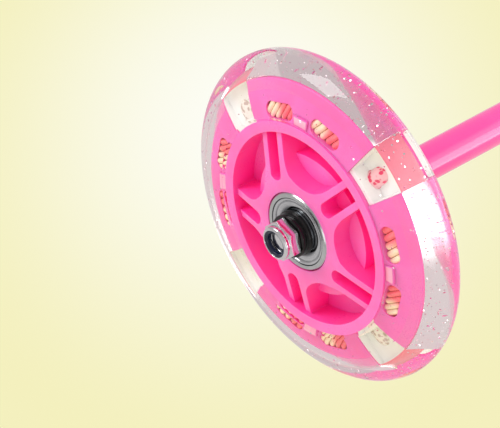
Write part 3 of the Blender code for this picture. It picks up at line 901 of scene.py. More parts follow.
@dataclass(frozen=True)
class Placing:
    """Where the CAD part has the wheel: its axle runs along Y and its nut points to -Y."""

    middle: float

    @classmethod
    def measured(cls) -> "Placing":
        """Finds the wheel's middle plane from the tyre's CAD node."""
        low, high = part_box("tyre")
        return cls((low[1] + high[1]) / 2)

    @property
    def axle(self) -> Matrix:
        """From the bench to the axle."""
        return Matrix.Translation((0, self.middle, 0)) @ Matrix.Rotation(math.pi / 2, 4, "X")

    @property
    def wheel(self) -> Matrix:
        """From the bench to the wheel, which is turned about the axle."""
        return self.axle @ Matrix.Rotation(WHEEL_TURN, 4, "Z")

    def settle(
        self, made: Piece, name: str, body: Body, look: Look, *nodes: str, before: Matrix = STAY
    ) -> None:
        """Names and dresses a piece, moves it to its place, parents it to its body and hides the CAD nodes it
        replaces.

        Args:
            made: the piece on the bench.
            name: its name.
            body: the body that it rides on.
            look: its finish.
            nodes: the CAD nodes that it replaces.
            before: a move on the bench that comes first.
        """
        made.name = name
        made.data.materials.clear()
        made.data.materials.append(look.material)
        base = self.wheel if body is Body.WHEEL else self.axle
        Bench.moved(made, base @ before)
        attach(made, body.value)
        if nodes:
            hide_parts(*nodes)
        LOG.info("%s: %d faces", made.name, len(made.data.polygons))

    @staticmethod
    def repaint(node: str, look: Look) -> None:
        """Gives a CAD node, which stays as it is, a finish."""
        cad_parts[node].data.materials[0] = look.material


# The wheel's pieces


@dataclass
class Hub:
    """The two pink mouldings: bearing seat, ribs, rim, and the flanges that the tyre is cast over."""

    seat: float = 11.1 * MM
    seat_floor: float = 3.75 * MM
    seat_wall: float = 1.6 * MM
    lip: float = 9.75 * MM
    parting: float = 0.15 * MM
    boss_height: float = 10.9 * MM
    boss_flat: float = 16.1 * MM
    boss_reach: float = 14.35 * MM
    rim_bore: float = 27.0 * MM
    rim_radius: float = 30.0 * MM
    rim_height: float = 8.8 * MM
    rib_drop: float = 1.4 * MM
    rib: float = 1.95 * MM
    rib_ease: float = 0.55 * MM
    pocket_corner: float = 0.8 * MM
    slot: float = 4.3 * MM
    spokes: int = 5
    web: float = 1.35 * MM
    drum_radius: float = 20.0 * MM
    drum_height: float = 5.5 * MM
    flange_root: float = 1.5 * MM
    flange_radius: float = 39.7 * MM
    flange_top: float = 6.8 * MM
    flange_rise: float = 0.25 * MM
    flange_base: float = 2.2 * MM
    flange_edge: float = 3.6 * MM
    flange_corner: float = 0.5 * MM
    flange_ease: float = 0.2 * MM
    window: float = math.radians(9.7)
    hole_centre: float = 32.3 * MM
    hole_radial: float = 4.2 * MM
    hole_length: float = 10.4 * MM
    ledge: float = math.radians(4.6)
    ledge_reach: float = 2.9 * MM
    ledge_base: float = 4.2 * MM
    ledge_rise: float = 0.5 * MM
    ledge_ease: float = 0.25 * MM
    pad_span: Point = (0.5 * MM, 2.6 * MM)
    pad_rise: Point = (0.42 * MM, 0.62 * MM)
    pad_share: float = 0.86
    pad_ease: float = 0.05 * MM
    overlap: float = 0.02 * MM

    def body(self) -> Piece:
        """Spins the boss, the ribs' sloping faces and the rim.

        Returns:
            The solid.
        """
        outline = [
            (self.seat, self.boss_height),
            (self.boss_flat, self.boss_height),
            (self.rim_bore, self.rim_height - self.rib_drop),
            (self.rim_bore, self.rim_height),
            (self.rim_radius, self.rim_height),
            (self.rim_radius, self.parting),
            (self.lip, self.parting),
            (self.lip, self.seat_floor),
            (self.seat, self.seat_floor),
        ]
        return Bench.spun("hub body", outline, steps=240)

    def hollow(self, outline: Sequence[Point], turn: float) -> Piece:
        """Raises the cutter for a hollow between ribs, from the web upwards.

        Args:
            outline: its outline round the x axis.
            turn: the angle at which it stands.

        Returns:
            The solid to cut out.
        """
        return Bench.raised("hollow", turned_round(outline, turn), self.web, self.boss_height + CLEAR)

    def pocket(self, turn: float) -> Piece:
        """Makes the D-shaped hollow between two pairs of ribs.

        Args:
            turn: the angle at which it stands.

        Returns:
            The solid to cut out.
        """
        half = math.pi / self.spokes
        offset = self.slot / 2 + self.rib
        centre = (self.boss_reach - offset) / (1 - math.sin(half))
        reach = self.rim_bore + self.overlap
        edge = half - math.asin(offset / reach)
        first, last = math.pi / 2 + half, 1.5 * math.pi - half
        inner = arc(centre - self.boss_reach, first, last, count=25, centre=(centre, 0))
        outline = arc(reach, -edge, edge, count=25) + inner
        return self.hollow(softened(outline, self.pocket_corner, count=5), turn)

    def groove(self, turn: float) -> Piece:
        """Makes the slot between the two ribs of a pair.

        Args:
            turn: the angle at which it stands.

        Returns:
            The solid to cut out.
        """
        half = self.slot / 2
        reach = self.rim_bore + self.overlap
        edge = math.asin(half / reach)
        centre = (self.boss_reach + half, 0)
        inner = arc(half, math.pi / 2, 1.5 * math.pi, count=13, centre=centre)
        return self.hollow(arc(reach, -edge, edge, count=5) + inner, turn)

    def drum(self) -> Piece:
        """Spins the step at the foot of the boss.

        Returns:
            The solid.
        """
        inner = self.seat + self.seat_wall
        outline = [
            (inner, self.drum_height),
            (self.drum_radius, self.drum_height),
            (self.drum_radius, self.web / 2),
            (inner, self.web / 2),
        ]
        return Bench.spun("drum", outline, steps=200)

    def wedge(self, inner: float, outer: float, half: float, turn: float = 0.0) -> list[Point]:
        """Outlines a sector between two radii, to half an angle on each side of its middle."""
        return turned_round(arc(outer, -half, half, count=13) + arc(inner, half, -half, count=13), turn)

    def hole(self, turn: float, low: float, high: float, more: float = 0.0) -> Piece:
        """Makes the slot over a coil.

        Args:
            turn: the angle at which it stands.
            low: its lower height.
            high: its upper height.
            more: how much further than the slot it reaches.

        Returns:
            The solid.
        """
        half = self.hole_radial / 2 + more
        reach = (self.hole_length - self.hole_radial) / 2
        outer = arc(half, 0, math.pi, count=13, centre=(self.hole_centre, reach))
        inner = arc(half, math.pi, TURN, count=13, centre=(self.hole_centre, -reach))
        outline = turned_round(outer + inner, turn)
        return Bench.raised("hole", outline, low, high)

    @staticmethod
    def hole_turns() -> list[float]:
        """Where the coil holes stand: two between each window and the next."""
        return [turn for i, turn in enumerate(spread(12)) if i % 3]

    @staticmethod
    def ledge_turns() -> list[float]:
        """Where the ledges stand: halfway between the windows."""
        return spread(4, math.pi / 4)

    def flange(self) -> Piece:
        """Spins the flange, then cuts its windows and holes.

        Returns:
            The solid.
        """
        inner = self.rim_radius - self.flange_root
        outline = [
            (inner, self.flange_top + self.flange_rise),
            (self.rim_radius, self.flange_top + self.flange_rise),
            (self.flange_radius, self.flange_edge),
            (self.flange_radius, self.flange_base),
            (inner, self.flange_base),
        ]
        made = Bench.spun("flange", softened(outline, self.flange_corner), steps=240)
        low, high = self.flange_base - CLEAR, self.flange_top + CLEAR
        for turn in spread(4):
            outline = self.wedge(inner - CLEAR, self.flange_radius + CLEAR, self.window, turn)
            Bench.carve(made, Bench.raised("window", outline, low, high))
        for turn in self.hole_turns():
            Bench.carve(made, self.hole(turn, low, high))
        return Bench.eased(made, self.flange_ease, angle=40)

    def ledge_block(self, turn: float) -> Piece:
        """Makes the ledge between the two holes of a pair.

        Args:
            turn: the angle at which it stands.

        Returns:
            The solid.
        """
        inner, outer = self.rim_radius - self.flange_root, self.rim_radius + self.ledge_reach
        outline = self.wedge(inner, outer, self.ledge, turn)
        made = Bench.raised("ledge", outline, self.ledge_base, self.flange_top + self.ledge_rise)
        return Bench.eased(made, self.ledge_ease)

    def pads(self) -> Piece:
        """Makes the pale pads on the ledges, whose paler pink is partly a painted highlight of the clear
        tyre.

        Returns:
            All eight pads in one piece.
        """
        near, far = (self.rim_radius + reach for reach in self.pad_span)
        low, high = (self.flange_top + rise for rise in self.pad_rise)
        made = []
        for turn in self.ledge_turns():
            outline = self.wedge(near, far, self.ledge * self.pad_share, turn)
            for bottom, top in both_sides(low, high):
                made.append(Bench.eased(Bench.raised("pad", outline, bottom, top), self.pad_ease, segments=2))
        return Bench.smooth(Bench.joined(made))

    def build(self) -> Piece:
        """Models one half of the hub on the bench.

        Returns:
            The half.
        """
        made = self.body()
        for turn in spread(self.spokes, math.pi / self.spokes):
            Bench.carve(made, self.pocket(turn))
        for turn in spread(self.spokes):
            Bench.carve(made, self.groove(turn))
        Bench.carve(made, self.drum(), "UNION")
        Bench.eased(made, self.rib_ease, segments=4, angle=40)
        ledges = [self.ledge_block(turn) for turn in self.ledge_turns()]
        return Bench.smooth(Bench.joined([made, self.flange(), *ledges]), angle=38)

    def dress(self, placing: Placing) -> None:
        """Puts both halves and their pads in place.

        Args:
            placing: where the wheel is.
        """
        half = self.build()
        other = Bench.copied(half)
        placing.settle(half, "hub_front_moulding", Body.WHEEL, Look.PINK, "hub_front")
        placing.settle(other, "hub_rear_moulding", Body.WHEEL, Look.PINK, "hub_rear", before=Side.REAR.flip)
        placing.settle(self.pads(), "ledge_pads", Body.WHEEL, Look.PAD)


@dataclass
class Tyre:
    """The clear tyre, the film round the flanges' edges and the glitter cast into it."""

    radius: float = 46.4 * MM
    half_width: float = 9.18 * MM
    root: float = 29.9 * MM
    lip: float = 8.3 * MM
    channel_radius: float = 40.1 * MM
    channel_half: float = 6.75 * MM
    channel_edge: float = 3.45 * MM
    bond_radius: float = 37.0 * MM
    bond_step: float = 0.1 * MM
    gap: float = 0.16 * MM
    slot_floor: float = 0.1 * MM
    slot_margin: float = 0.06 * MM
    plug: float = math.radians(9.75)
    quarter_span: Point = (25 * MM, 45 * MM)
    quarter_half: float = 9 * MM
    film_inner: float = 39.8 * MM
    film_outer: float = 39.98 * MM
    film_half: float = 2.95 * MM
    film_overlap: float = math.radians(0.25)
    flakes: int = 1400
    flake_size: Point = (0.1, 0.3)
    flake_depth: float = 0.12 * MM
    flake_margin: float = 0.5 * MM
    lowest_flake: float = 0.05
    steps: int = 256
    seed: int = 8

    def crown(self) -> Piece:
        """Spins the solid tyre, half an ellipse in section.

        Returns:
            The solid.
        """
        depth = self.radius - self.root
        half = arc(1, math.pi / 2, -math.pi / 2, count=49)
        curve = [(self.root + depth * x, self.half_width * y) for x, y in half]
        outline = [(self.root, self.lip), *curve[1:-1], (self.root, -self.lip)]
        return Bench.spun("tyre crown", outline, self.steps)

    def quarter(self, made: Piece, gap: float = 0.0) -> Piece:
        """Keeps the part of a ring that lies between the first window and the next.

        Args:
            made: the ring.
            gap: the angle by which the part ends short of each window.

        Returns:
            The quarter ring.
        """
        half = math.pi / 4 - self.plug - gap
        inner, outer = self.quarter_span
        outline = arc(outer, -half, half, count=40) + arc(inner, half, -half, count=40)
        outline = turned_round(outline, math.pi / 4)
        tool = Bench.raised("quarter", outline, -self.quarter_half, self.quarter_half)
        return Bench.carve(made, tool, "INTERSECT")

    def channel(self, hub: Hub) -> Piece:
        """Makes the hollow that one quarter of the flanges fills, between two windows.

        The clear material also fills the slots over the coils, down to the flanges' inner faces.

        Args:
            hub: the hub that the tyre is cast over.

        Returns:
            The solid to cut out.
        """
        slope = (self.channel_edge - self.channel_half) / (hub.flange_radius - self.root)
        bond = self.channel_half + slope * (self.bond_radius - self.root)
        gap = self.gap + hub.flange_edge - self.channel_edge
        upper = [
            (self.root - CLEAR, self.channel_half),
            (self.root, self.channel_half),
            (self.bond_radius, bond),
            (self.bond_radius + self.bond_step, bond + gap),
            (hub.flange_radius, self.channel_edge + gap),
            (self.channel_radius, self.channel_edge),
        ]
        section = [(r, -z) for r, z in upper] + upper[::-1]
        made = self.quarter(Bench.spun("channel", section, self.steps))
        floor = hub.flange_base + self.slot_floor
        for turn in hub.hole_turns()[:2]:
            for low, high in both_sides(floor, self.quarter_half):
                Bench.carve(made, hub.hole(turn, low, high, self.slot_margin))
        return made

    def cast(self, hub: Hub) -> Piece:
        """Casts the tyre round the flanges.

        Args:
            hub: the hub that the tyre is cast over.

        Returns:
            The tyre.
        """
        made = self.crown()
        hollow = self.channel(hub)
        for turn in spread(4):
            Bench.carve(made, Bench.copied(hollow, Matrix.Rotation(turn, 4, "Z")))
        bpy.data.objects.remove(hollow)
        return Bench.smooth(made, angle=30)

    def film(self) -> Piece:
        """Makes the silver film that lines the clear material round the flanges' edges.

        Returns:
            The film in its four parts.
        """
        low, high, half = self.film_inner, self.film_outer, self.film_half
        ring = Bench.spun("film", [(low, half), (high, half), (high, -half), (low, -half)], self.steps)
        first = self.quarter(ring, -self.film_overlap)
        rest = [Bench.copied(first, Matrix.Rotation(turn, 4, "Z")) for turn in spread(4)[1:]]
        return Bench.smooth(Bench.joined([first, *rest]))

    def inside(self, radius: float, height: float) -> bool:
        """Whether a point lies well inside the clear material and off the hub's flanges.

        Args:
            radius: its distance from the axle.
            height: its height.

        Returns:
            Whether it does.
        """
        margin = self.flake_margin
        x = (radius - self.root) / (self.radius - self.root - margin)
        y = height / (self.half_width - margin)
        in_channel = radius < self.channel_radius + margin and abs(height) < self.channel_half + margin
        return x > self.lowest_flake and x * x + y * y < 1 and not in_channel

    def glitter(self) -> Piece:
        """Scatters small six-sided flakes through the tyre.

        Returns:
            All flakes in one piece.
        """
        chance = random.Random(self.seed)
        Bench.tidy()
        bpy.ops.mesh.primitive_circle_add(vertices=6, radius=MM, fill_type="NGON", enter_editmode=True)
        bpy.ops.mesh.extrude_region_move(TRANSFORM_OT_translate={"value": (0, 0, self.flake_depth)})
        first = Bench.finished(bpy.context.object)
        copies = []
        while len(copies) < self.flakes:
            radius = chance.uniform(self.root, self.radius)
            height = chance.uniform(-self.half_width, self.half_width)
            if chance.random() > radius / self.radius or not self.inside(radius, height):
                continue
            place = Matrix.Rotation(chance.uniform(0, TURN), 4, "Z") @ Matrix.Translation((radius, 0, height))
            tilt, roll = (Matrix.Rotation(chance.uniform(0, math.pi), 4, axis) for axis in "XY")
            copy = Bench.twin(first)
            copy.matrix_world = place @ (tilt @ roll) @ Matrix.Scale(chance.uniform(*self.flake_size), 4)
            copies.append(copy)
        bpy.data.objects.remove(first)
        return Bench.moved(Bench.joined(copies), STAY)

    def dress(self, hub: Hub, placing: Placing) -> None:
        """Puts the tyre, its film and its glitter in place.

        Args:
            hub: the hub that the tyre is cast over.
            placing: where the wheel is.
        """
        placing.settle(self.cast(hub), "clear_tyre", Body.WHEEL, Look.CLEAR, "tyre")
        placing.settle(self.film(), "silver_film", Body.WHEEL, Look.FILM)
        placing.settle(self.glitter(), "glitter", Body.WHEEL, Look.FLAKE)


@dataclass
class LampRing:
    """The board, coils and lamps round the rim."""

    coil_centre: float = 32.2 * MM
    coil_thickness: float = 5.0 * MM
    coil_height: float = 6.0 * MM
    coil_length: float = 11.0 * MM
    coil_corner: float = 0.2 * MM
    slope: float = 0.355
    lay: float = math.radians(-3)
    most_slant: float = 1.0
    turns: int = 5
    core_size: Triple = (0.9 * MM, 9.8 * MM, 4.8 * MM)
    core_ease: float = 0.15 * MM
    chip_size: Triple = (0.9 * MM, 3.0 * MM, 2.6 * MM)
    chip_rise: float = 0.6 * MM
    chip_ease: float = 0.2 * MM
    board_foot: float = 30.02 * MM
    board_face: float = 30.9 * MM
    board_half: float = 2.78 * MM
    lamp_radius: float = 2.4 * MM
    lamp_foot: Profile = ((2.4, 0.9), (2.6, 0.8), (2.6, 0.0), (0.0, 0.0))
    guide_gap: float = 0.1 * MM
    guide_half: float = math.radians(9.62)
    guide_wall: float = math.radians(0.4)
    guide_plate: float = 0.5 * MM
    guide_depth: float = 6.5 * MM
    guide_ease: float = 0.08 * MM
    guide_cover: Profile = ((30.0, 6.2), (39.2, 3.25), (39.22, 2.9), (40.0, 2.9))
    foot_root: float = 30.06 * MM
    foot_span: Point = (2.9 * MM, 6.45 * MM)
    foot_overlap: float = 0.4 * MM
    foot_wall: float = 0.3 * MM
    end_wall: float = 0.35 * MM

    def coil(self, turn: float) -> Piece:
        """Winds a coil along Y from rings of wire, level with the slope of the flange.

        Its rings slant so that those of all the coils run one way round the wheel.

        Args:
            turn: the angle at which it will stand.

        Returns:
            The coil.
        """
        pitch = self.coil_length / self.turns
        slant = max(-self.most_slant, min(self.most_slant, math.tan(self.lay - turn)))
        wire = pitch / 2 * math.cos(math.atan(slant))
        half, reach = self.coil_thickness / 2 - wire, self.coil_height - wire
        path = [(half, -reach), (half, reach), (-half, reach), (-half, -reach)]
        path = softened(path, self.coil_corner, count=5)
        loops = []
        for i in range(self.turns):
            y = -self.coil_length / 2 + (i + 0.5) * pitch
            outline = [(x, y + slant * x, z - math.copysign(self.slope * x, z)) for x, z in path]
            loop = Bench.drawn("winding", outline, True)
            bpy.ops.mesh.delete(type="ONLY_FACE")
            Bench.pick(loop)
            bpy.ops.object.transform_apply(location=True)
            bpy.ops.object.convert(target="CURVE")
            loop.data.bevel_depth = wire
            loop.data.bevel_resolution = 3
            Bench.pick(loop)
            bpy.ops.object.convert(target="MESH")
            loops.append(bpy.context.object)
        return Bench.smooth(Bench.joined(loops), angle=60)

    def lamp(self) -> Piece:
        """Spins a round lamp that stands up from height 0."""
        dome = arc(self.lamp_radius, math.pi / 2, 0, count=10, centre=(0, self.lamp_radius))
        return Bench.smooth(Bench.spun("lamp", dome + raised_to(0.0, self.lamp_foot), steps=48))

    def guide(self, hub: Hub) -> Piece:
        """Makes the white light guide in a window: a plate with side, end and foot walls.

        Args:
            hub: the hub that has the window.

        Returns:
            The guide for the window at angle 0.
        """
        low, high = self.board_face + self.guide_gap, hub.flange_radius
        half, deep = self.guide_half, self.guide_depth
        made = Bench.raised("guide", hub.wedge(low, high, half), -deep, deep)
        foot = hub.wedge(self.foot_root, low + self.foot_overlap, half)
        for bottom, top in both_sides(*self.foot_span):
            Bench.carve(made, Bench.raised("foot", foot, bottom, top), "UNION")
        upper = raised_to(0.0, self.guide_cover)
        section = upper + [(r, -z) for r, z in upper[::-1]]
        Bench.carve(made, Bench.spun("cover", section, steps=256), "INTERSECT")
        room = hub.wedge(low + self.foot_wall, high - self.end_wall, half - self.guide_wall)
        for bottom, top in both_sides(self.guide_plate, deep + CLEAR):
            Bench.carve(made, Bench.raised("room", room, bottom, top))
        return Bench.smooth(Bench.eased(made, self.guide_ease, segments=2, angle=50))

    def board(self) -> Piece:
        """Spins the strip that everything stands on.

        Returns:
            The strip.
        """
        foot, face, half = self.board_foot, self.board_face, self.board_half
        outline = [(foot, half), (face, half), (face, -half), (foot, -half)]
        return Bench.smooth(Bench.spun("board", outline, steps=200))

    def dress(self, hub: Hub, placing: Placing) -> None:
        """Puts every piece of the ring in place.

        Args:
            hub: the hub that the ring sits in.
            placing: where the wheel is.
        """

        def fit(made: Piece, name: str, number: int, look: Look, node: str, spot: Matrix) -> None:
            """Settles a numbered piece at its spot on the bench."""
            placing.settle(made, f"{name}_{number}", Body.WHEEL, look, f"{node}_{number}", before=spot)

        placing.settle(self.board(), "lamp_strip", Body.WHEEL, Look.BOARD, "lamp_board")
        core = Bench.block(self.core_size, self.core_ease)
        chip = Bench.block(self.chip_size, self.chip_ease)
        over_board = Matrix.Translation((self.board_face + self.chip_rise, 0, 0))
        for number, turn in enumerate(hub.hole_turns(), 1):
            spot = Matrix.Rotation(turn, 4, "Z")
            centre = spot @ Matrix.Translation((self.coil_centre, 0, 0))
            fit(self.coil(turn), "winding", number, Look.WIRE, "coil", centre)
            fit(Bench.twin(core), "iron_bar", number, Look.IRON, "coil_core", centre)
            fit(Bench.twin(chip), "chip", number, Look.DULL_LAMP, "lamp_chip", spot @ over_board)
        lamp, guide = self.lamp(), self.guide(hub)
        stand = Matrix.Translation((self.board_face, 0, 0)) @ Matrix.Rotation(math.pi / 2, 4, "Y")
        for number, turn in enumerate(spread(4), 1):
            spot = Matrix.Rotation(turn, 4, "Z")
            look = Look.LAMP if number == 1 else Look.DULL_LAMP
            fit(Bench.twin(lamp), "bulb", number, look, "window_lamp", spot @ stand)
            fit(Bench.twin(guide), "light_guide", number, Look.GUIDE, "light_block", spot)
        for spare in (core, chip, lamp, guide):
            bpy.data.objects.remove(spare)


@dataclass
class Bearing:
    """A ball bearing with its shields, modelled round height 0.

    The heights of its shield's profile start at the shield's flat ring.
    """

    radius: float = 10.95 * MM
    bore: float = 4.0 * MM
    width: float = 7.0 * MM
    face_gap: float = 0.01 * MM
    chamfer: float = 0.4 * MM
    inner_chamfer: float = 0.3 * MM
    inner_land: float = 6.0 * MM
    seat: float = 9.58 * MM
    seat_step: Point = (0.15 * MM, 0.5 * MM)
    race_land: Point = (9.1 * MM, 2.6 * MM)
    race_centre: Point = (7.5 * MM, 0.0)
    race_radius: float = 2.09 * MM
    outer_race: float = 0.62
    inner_race: float = 0.75
    from_middle: float = 7.5 * MM
    shield_drop: float = 0.35 * MM
    shield_profile: Profile = (
        (6.15, -0.3),
        (6.9, -0.22),
        (8.2, 0.0),
        (8.4, -0.2),
        (8.6, -0.16),
        (8.8, 0.14),
        (9.0, 0.26),
        (9.25, 0.22),
        (9.5, 0.04),
        (9.5, -0.34),
        (6.15, -0.34),
    )

    def outer_ring(self) -> Piece:
        """Spins the outer ring with its shield seats and its race.

        Returns:
            The ring.
        """
        half, c = self.width / 2 - self.face_gap, self.chamfer
        race = arc(self.race_radius, -self.outer_race, self.outer_race, count=9, centre=self.race_centre)
        outside = [
            (self.radius - c, half),
            (self.radius, half - c),
            (self.radius, c - half),
            (self.radius - c, -half),
        ]
        across, deep = self.seat_step
        land, land_half = self.race_land
        seat = [(self.seat, -half), (self.seat - across, deep - half), (land, -land_half)]
        outline = outside + seat + race + [(r, -z) for r, z in seat[::-1]]
        return Bench.smooth(Bench.spun("outer ring", outline), angle=20)

    def inner_ring(self) -> Piece:
        """Spins the inner ring.

        Returns:
            The ring.
        """
        half, c = self.width / 2 - self.face_gap, self.inner_chamfer
        first, last = math.pi - self.inner_race, math.pi + self.inner_race
        race = arc(self.race_radius, first, last, count=9, centre=self.race_centre)
        bore = [(self.bore + c, -half), (self.bore, c - half), (self.bore, half - c), (self.bore + c, half)]
        outline = [(self.inner_land, half), *race, (self.inner_land, -half), *bore]
        return Bench.smooth(Bench.spun("inner ring", outline, steps=120), angle=20)

    def shield(self) -> Piece:
        """Spins a pressed shield with its rolled edge and shallow step."""
        profile = raised_to(self.width / 2 - self.shield_drop, self.shield_profile)
        return Bench.smooth(Bench.spun("shield", profile), angle=60)

    def dress(self, side: Side, placing: Placing) -> None:
        """Puts one bearing in place.

        Args:
            side: the side of the wheel that it is on.
            placing: where the wheel is.
        """
        name = f"{side.word}_bearing"
        shift = side.flip @ Matrix.Translation((0, 0, self.from_middle))
        rows = (
            (self.outer_ring(), "outer", Body.WHEEL, Look.GROUND, "outer_ring", STAY),
            (self.inner_ring(), "inner", Body.AXLE, Look.GROUND, "inner_ring", STAY),
            (self.shield(), "cover_a", Body.WHEEL, Look.PRESSED, "shield_a", STAY),
            (self.shield(), "cover_b", Body.WHEEL, Look.PRESSED, "shield_b", Side.REAR.flip),
        )
        for made, word, body, look, node, flip in rows:
            placing.settle(made, f"{name}_{word}", body, look, f"{name}_{node}", before=shift @ flip)
        placing.repaint(f"{name}_cage", Look.GROUND)


@dataclass
class Axle:
    """The bolt, nut, bushes and tube.

    A bush's heights start at its flange's base, the washer's at the tube's far end, and the others at the
    nut's top.
    """

    base: float = 11.25 * MM
    bush_profile: Profile = (
        (3.2, 2.9),
        (5.95, 2.9),
        (5.95, 0.8),
        (6.3, 0.65),
        (6.3, -0.2),
        (3.84, -0.2),
        (3.84, -6.0),
        (3.2, -6.0),
    )
    bush_corner: float = 0.35 * MM
    corner: float = math.radians(42.5)
    flats: float = 9.96 * MM
    edge: float = 0.12 * MM
    barrel_run: float = 1.732 * MM
    barrel_margin: float = 0.05 * MM
    barrel_share: float = 1.02
    nut_base: float = 14.35 * MM
    nut_top: float = 19.3 * MM
    collar_drop: float = 1.9 * MM
    collar_profile: Profile = (
        (0.0, 0.0),
        (3.3, 0.0),
        (4.65, -0.7),
        (4.65, -1.7),
        (4.75, -2.0),
        (4.75, -2.95),
        (0.0, -2.95),
    )
    collar_corner: float = 0.6 * MM
    bore_profile: Profile = (
        (0.0, 1.0),
        (3.95, 1.0),
        (3.95, -0.1),
        (3.75, -0.35),
        (3.75, -1.8),
        (3.05, -1.8),
        (3.05, -5.95),
        (0.0, -5.95),
    )
    ring_profile: Profile = (
        (2.75, -1.35),
        (2.95, -0.75),
        (3.4, -0.45),
        (3.74, -0.45),
        (3.74, -1.75),
        (2.75, -1.75),
    )
    ring_corner: float = 0.15 * MM
    bolt_end: Profile = ((0.0, -1.75), (2.15, -1.75), (2.45, -1.95), (3.0, -2.65))
    bolt: float = 3.0 * MM
    head_drop: Point = (8.85 * MM, 4.85 * MM)
    shank_drop: float = 6.0 * MM
    bore: float = 3.3 * MM
    tube: float = 4.98 * MM
    tube_near: float = -13.5 * MM
    tube_far: float = -103.5 * MM
    tube_corner: float = 0.35 * MM
    washer_profile: Profile = ((3.2, -3.0), (5.98, -3.0), (5.98, -4.6), (3.2, -4.6))
    washer_corner: float = 0.3 * MM

    def bush(self) -> Piece:
        """Spins a black bush: sleeve, flange and rounded nose."""
        outline = softened(raised_to(self.base, self.bush_profile), self.bush_corner, count=6)
        return Bench.smooth(Bench.spun("bush", outline), angle=60)

    def hexagon(self, low: float, high: float) -> Piece:
        """Makes a hexagon with its corners turned off at both ends.

        Args:
            low: its lower height.
            high: its upper height.

        Returns:
            The solid.
        """
        corner = self.flats / 2 / math.cos(math.pi / 6)
        sides = arc(corner, self.corner, self.corner + TURN * 5 / 6, count=6)
        made = Bench.raised("hexagon", sides, low, high)
        wide, narrow = corner + self.barrel_margin, self.flats / 2 * self.barrel_share
        drop = (wide - narrow) * math.tan(math.pi / 6)
        tip = narrow - self.barrel_run
        over = [(0.0, high + CLEAR), (tip, high + CLEAR), (wide, high - drop)]
        under = [(wide, low + drop), (tip, low - CLEAR), (0.0, low - CLEAR)]
        return Bench.carve(made, Bench.spun("barrel", over + under, steps=96), "INTERSECT")

    def nut(self) -> Piece:
        """Makes the locking nut: hexagon, rounded collar, and the bore for its ring.

        Returns:
            The nut.
        """
        made = self.hexagon(self.nut_base, self.nut_top - self.collar_drop)
        profile = raised_to(self.nut_top, self.collar_profile)
        collar = softened(profile, self.collar_corner, count=6, closed=False)
        Bench.carve(made, Bench.spun("collar", collar, steps=96), "UNION")
        Bench.carve(made, Bench.spun("bore", raised_to(self.nut_top, self.bore_profile), steps=96))
        return Bench.smooth(Bench.eased(made, self.edge, segments=2, angle=40), angle=40)

    def ring(self) -> Piece:
        """Spins the nylon ring, dished towards the bolt."""
        outline = softened(raised_to(self.nut_top, self.ring_profile), self.ring_corner)
        return Bench.smooth(Bench.spun("ring", outline, steps=96), angle=60)

    def stud(self) -> Piece:
        """Makes the bolt: head, shank and a chamfered end.

        Returns:
            The bolt.
        """
        made = self.hexagon(*(self.tube_far - drop for drop in self.head_drop))
        root = self.tube_far - self.shank_drop
        shank = [*raised_to(self.nut_top, self.bolt_end), (self.bolt, root), (0.0, root)]
        Bench.carve(made, Bench.spun("shank", shank, steps=96), "UNION")
        return Bench.smooth(Bench.eased(made, self.edge, segments=2, angle=40), angle=40)

    def pipe(self) -> Piece:
        """Spins the axle tube.

        Returns:
            The tube.
        """
        near, far = self.tube_near, self.tube_far
        outline = [(self.bore, near), (self.tube, near), (self.tube, far), (self.bore, far)]
        outline = softened(outline, self.tube_corner, count=5)
        return Bench.smooth(Bench.spun("tube", outline, steps=128), angle=50)

    def washer(self) -> Piece:
        """Spins the washer under the bolt's head."""
        outline = softened(raised_to(self.tube_far, self.washer_profile), self.washer_corner)
        return Bench.smooth(Bench.spun("washer", outline, steps=96), angle=50)

    def dress(self, placing: Placing) -> None:
        """Puts every piece of the axle in place.

        Args:
            placing: where the wheel is.
        """
        rows: list[tuple[Callable[[], Piece], str, Look, str]] = [
            (self.nut, "lock_nut", Look.PLATED, "nut_body"),
            (self.ring, "lock_ring", Look.NYLON, "nut_nylon_ring"),
            (self.stud, "long_bolt", Look.PLATED, "axle_bolt"),
            (self.pipe, "painted_tube", Look.PAINT, "axle_tube"),
            (self.washer, "head_washer", Look.PLATED, "bolt_washer"),
        ]
        for build, name, look, node in rows:
            placing.settle(build(), name, Body.AXLE, look, node)
        for side in Side:
            name, node = f"{side.word}_black_bush", f"{side.word}_bush"
            placing.settle(self.bush(), name, Body.AXLE, Look.BLACK, node, before=side.flip)
        placing.repaint("bearing_spacer", Look.PLATED)
        placing.repaint("magnet_ring", Look.IRON)


# The studio


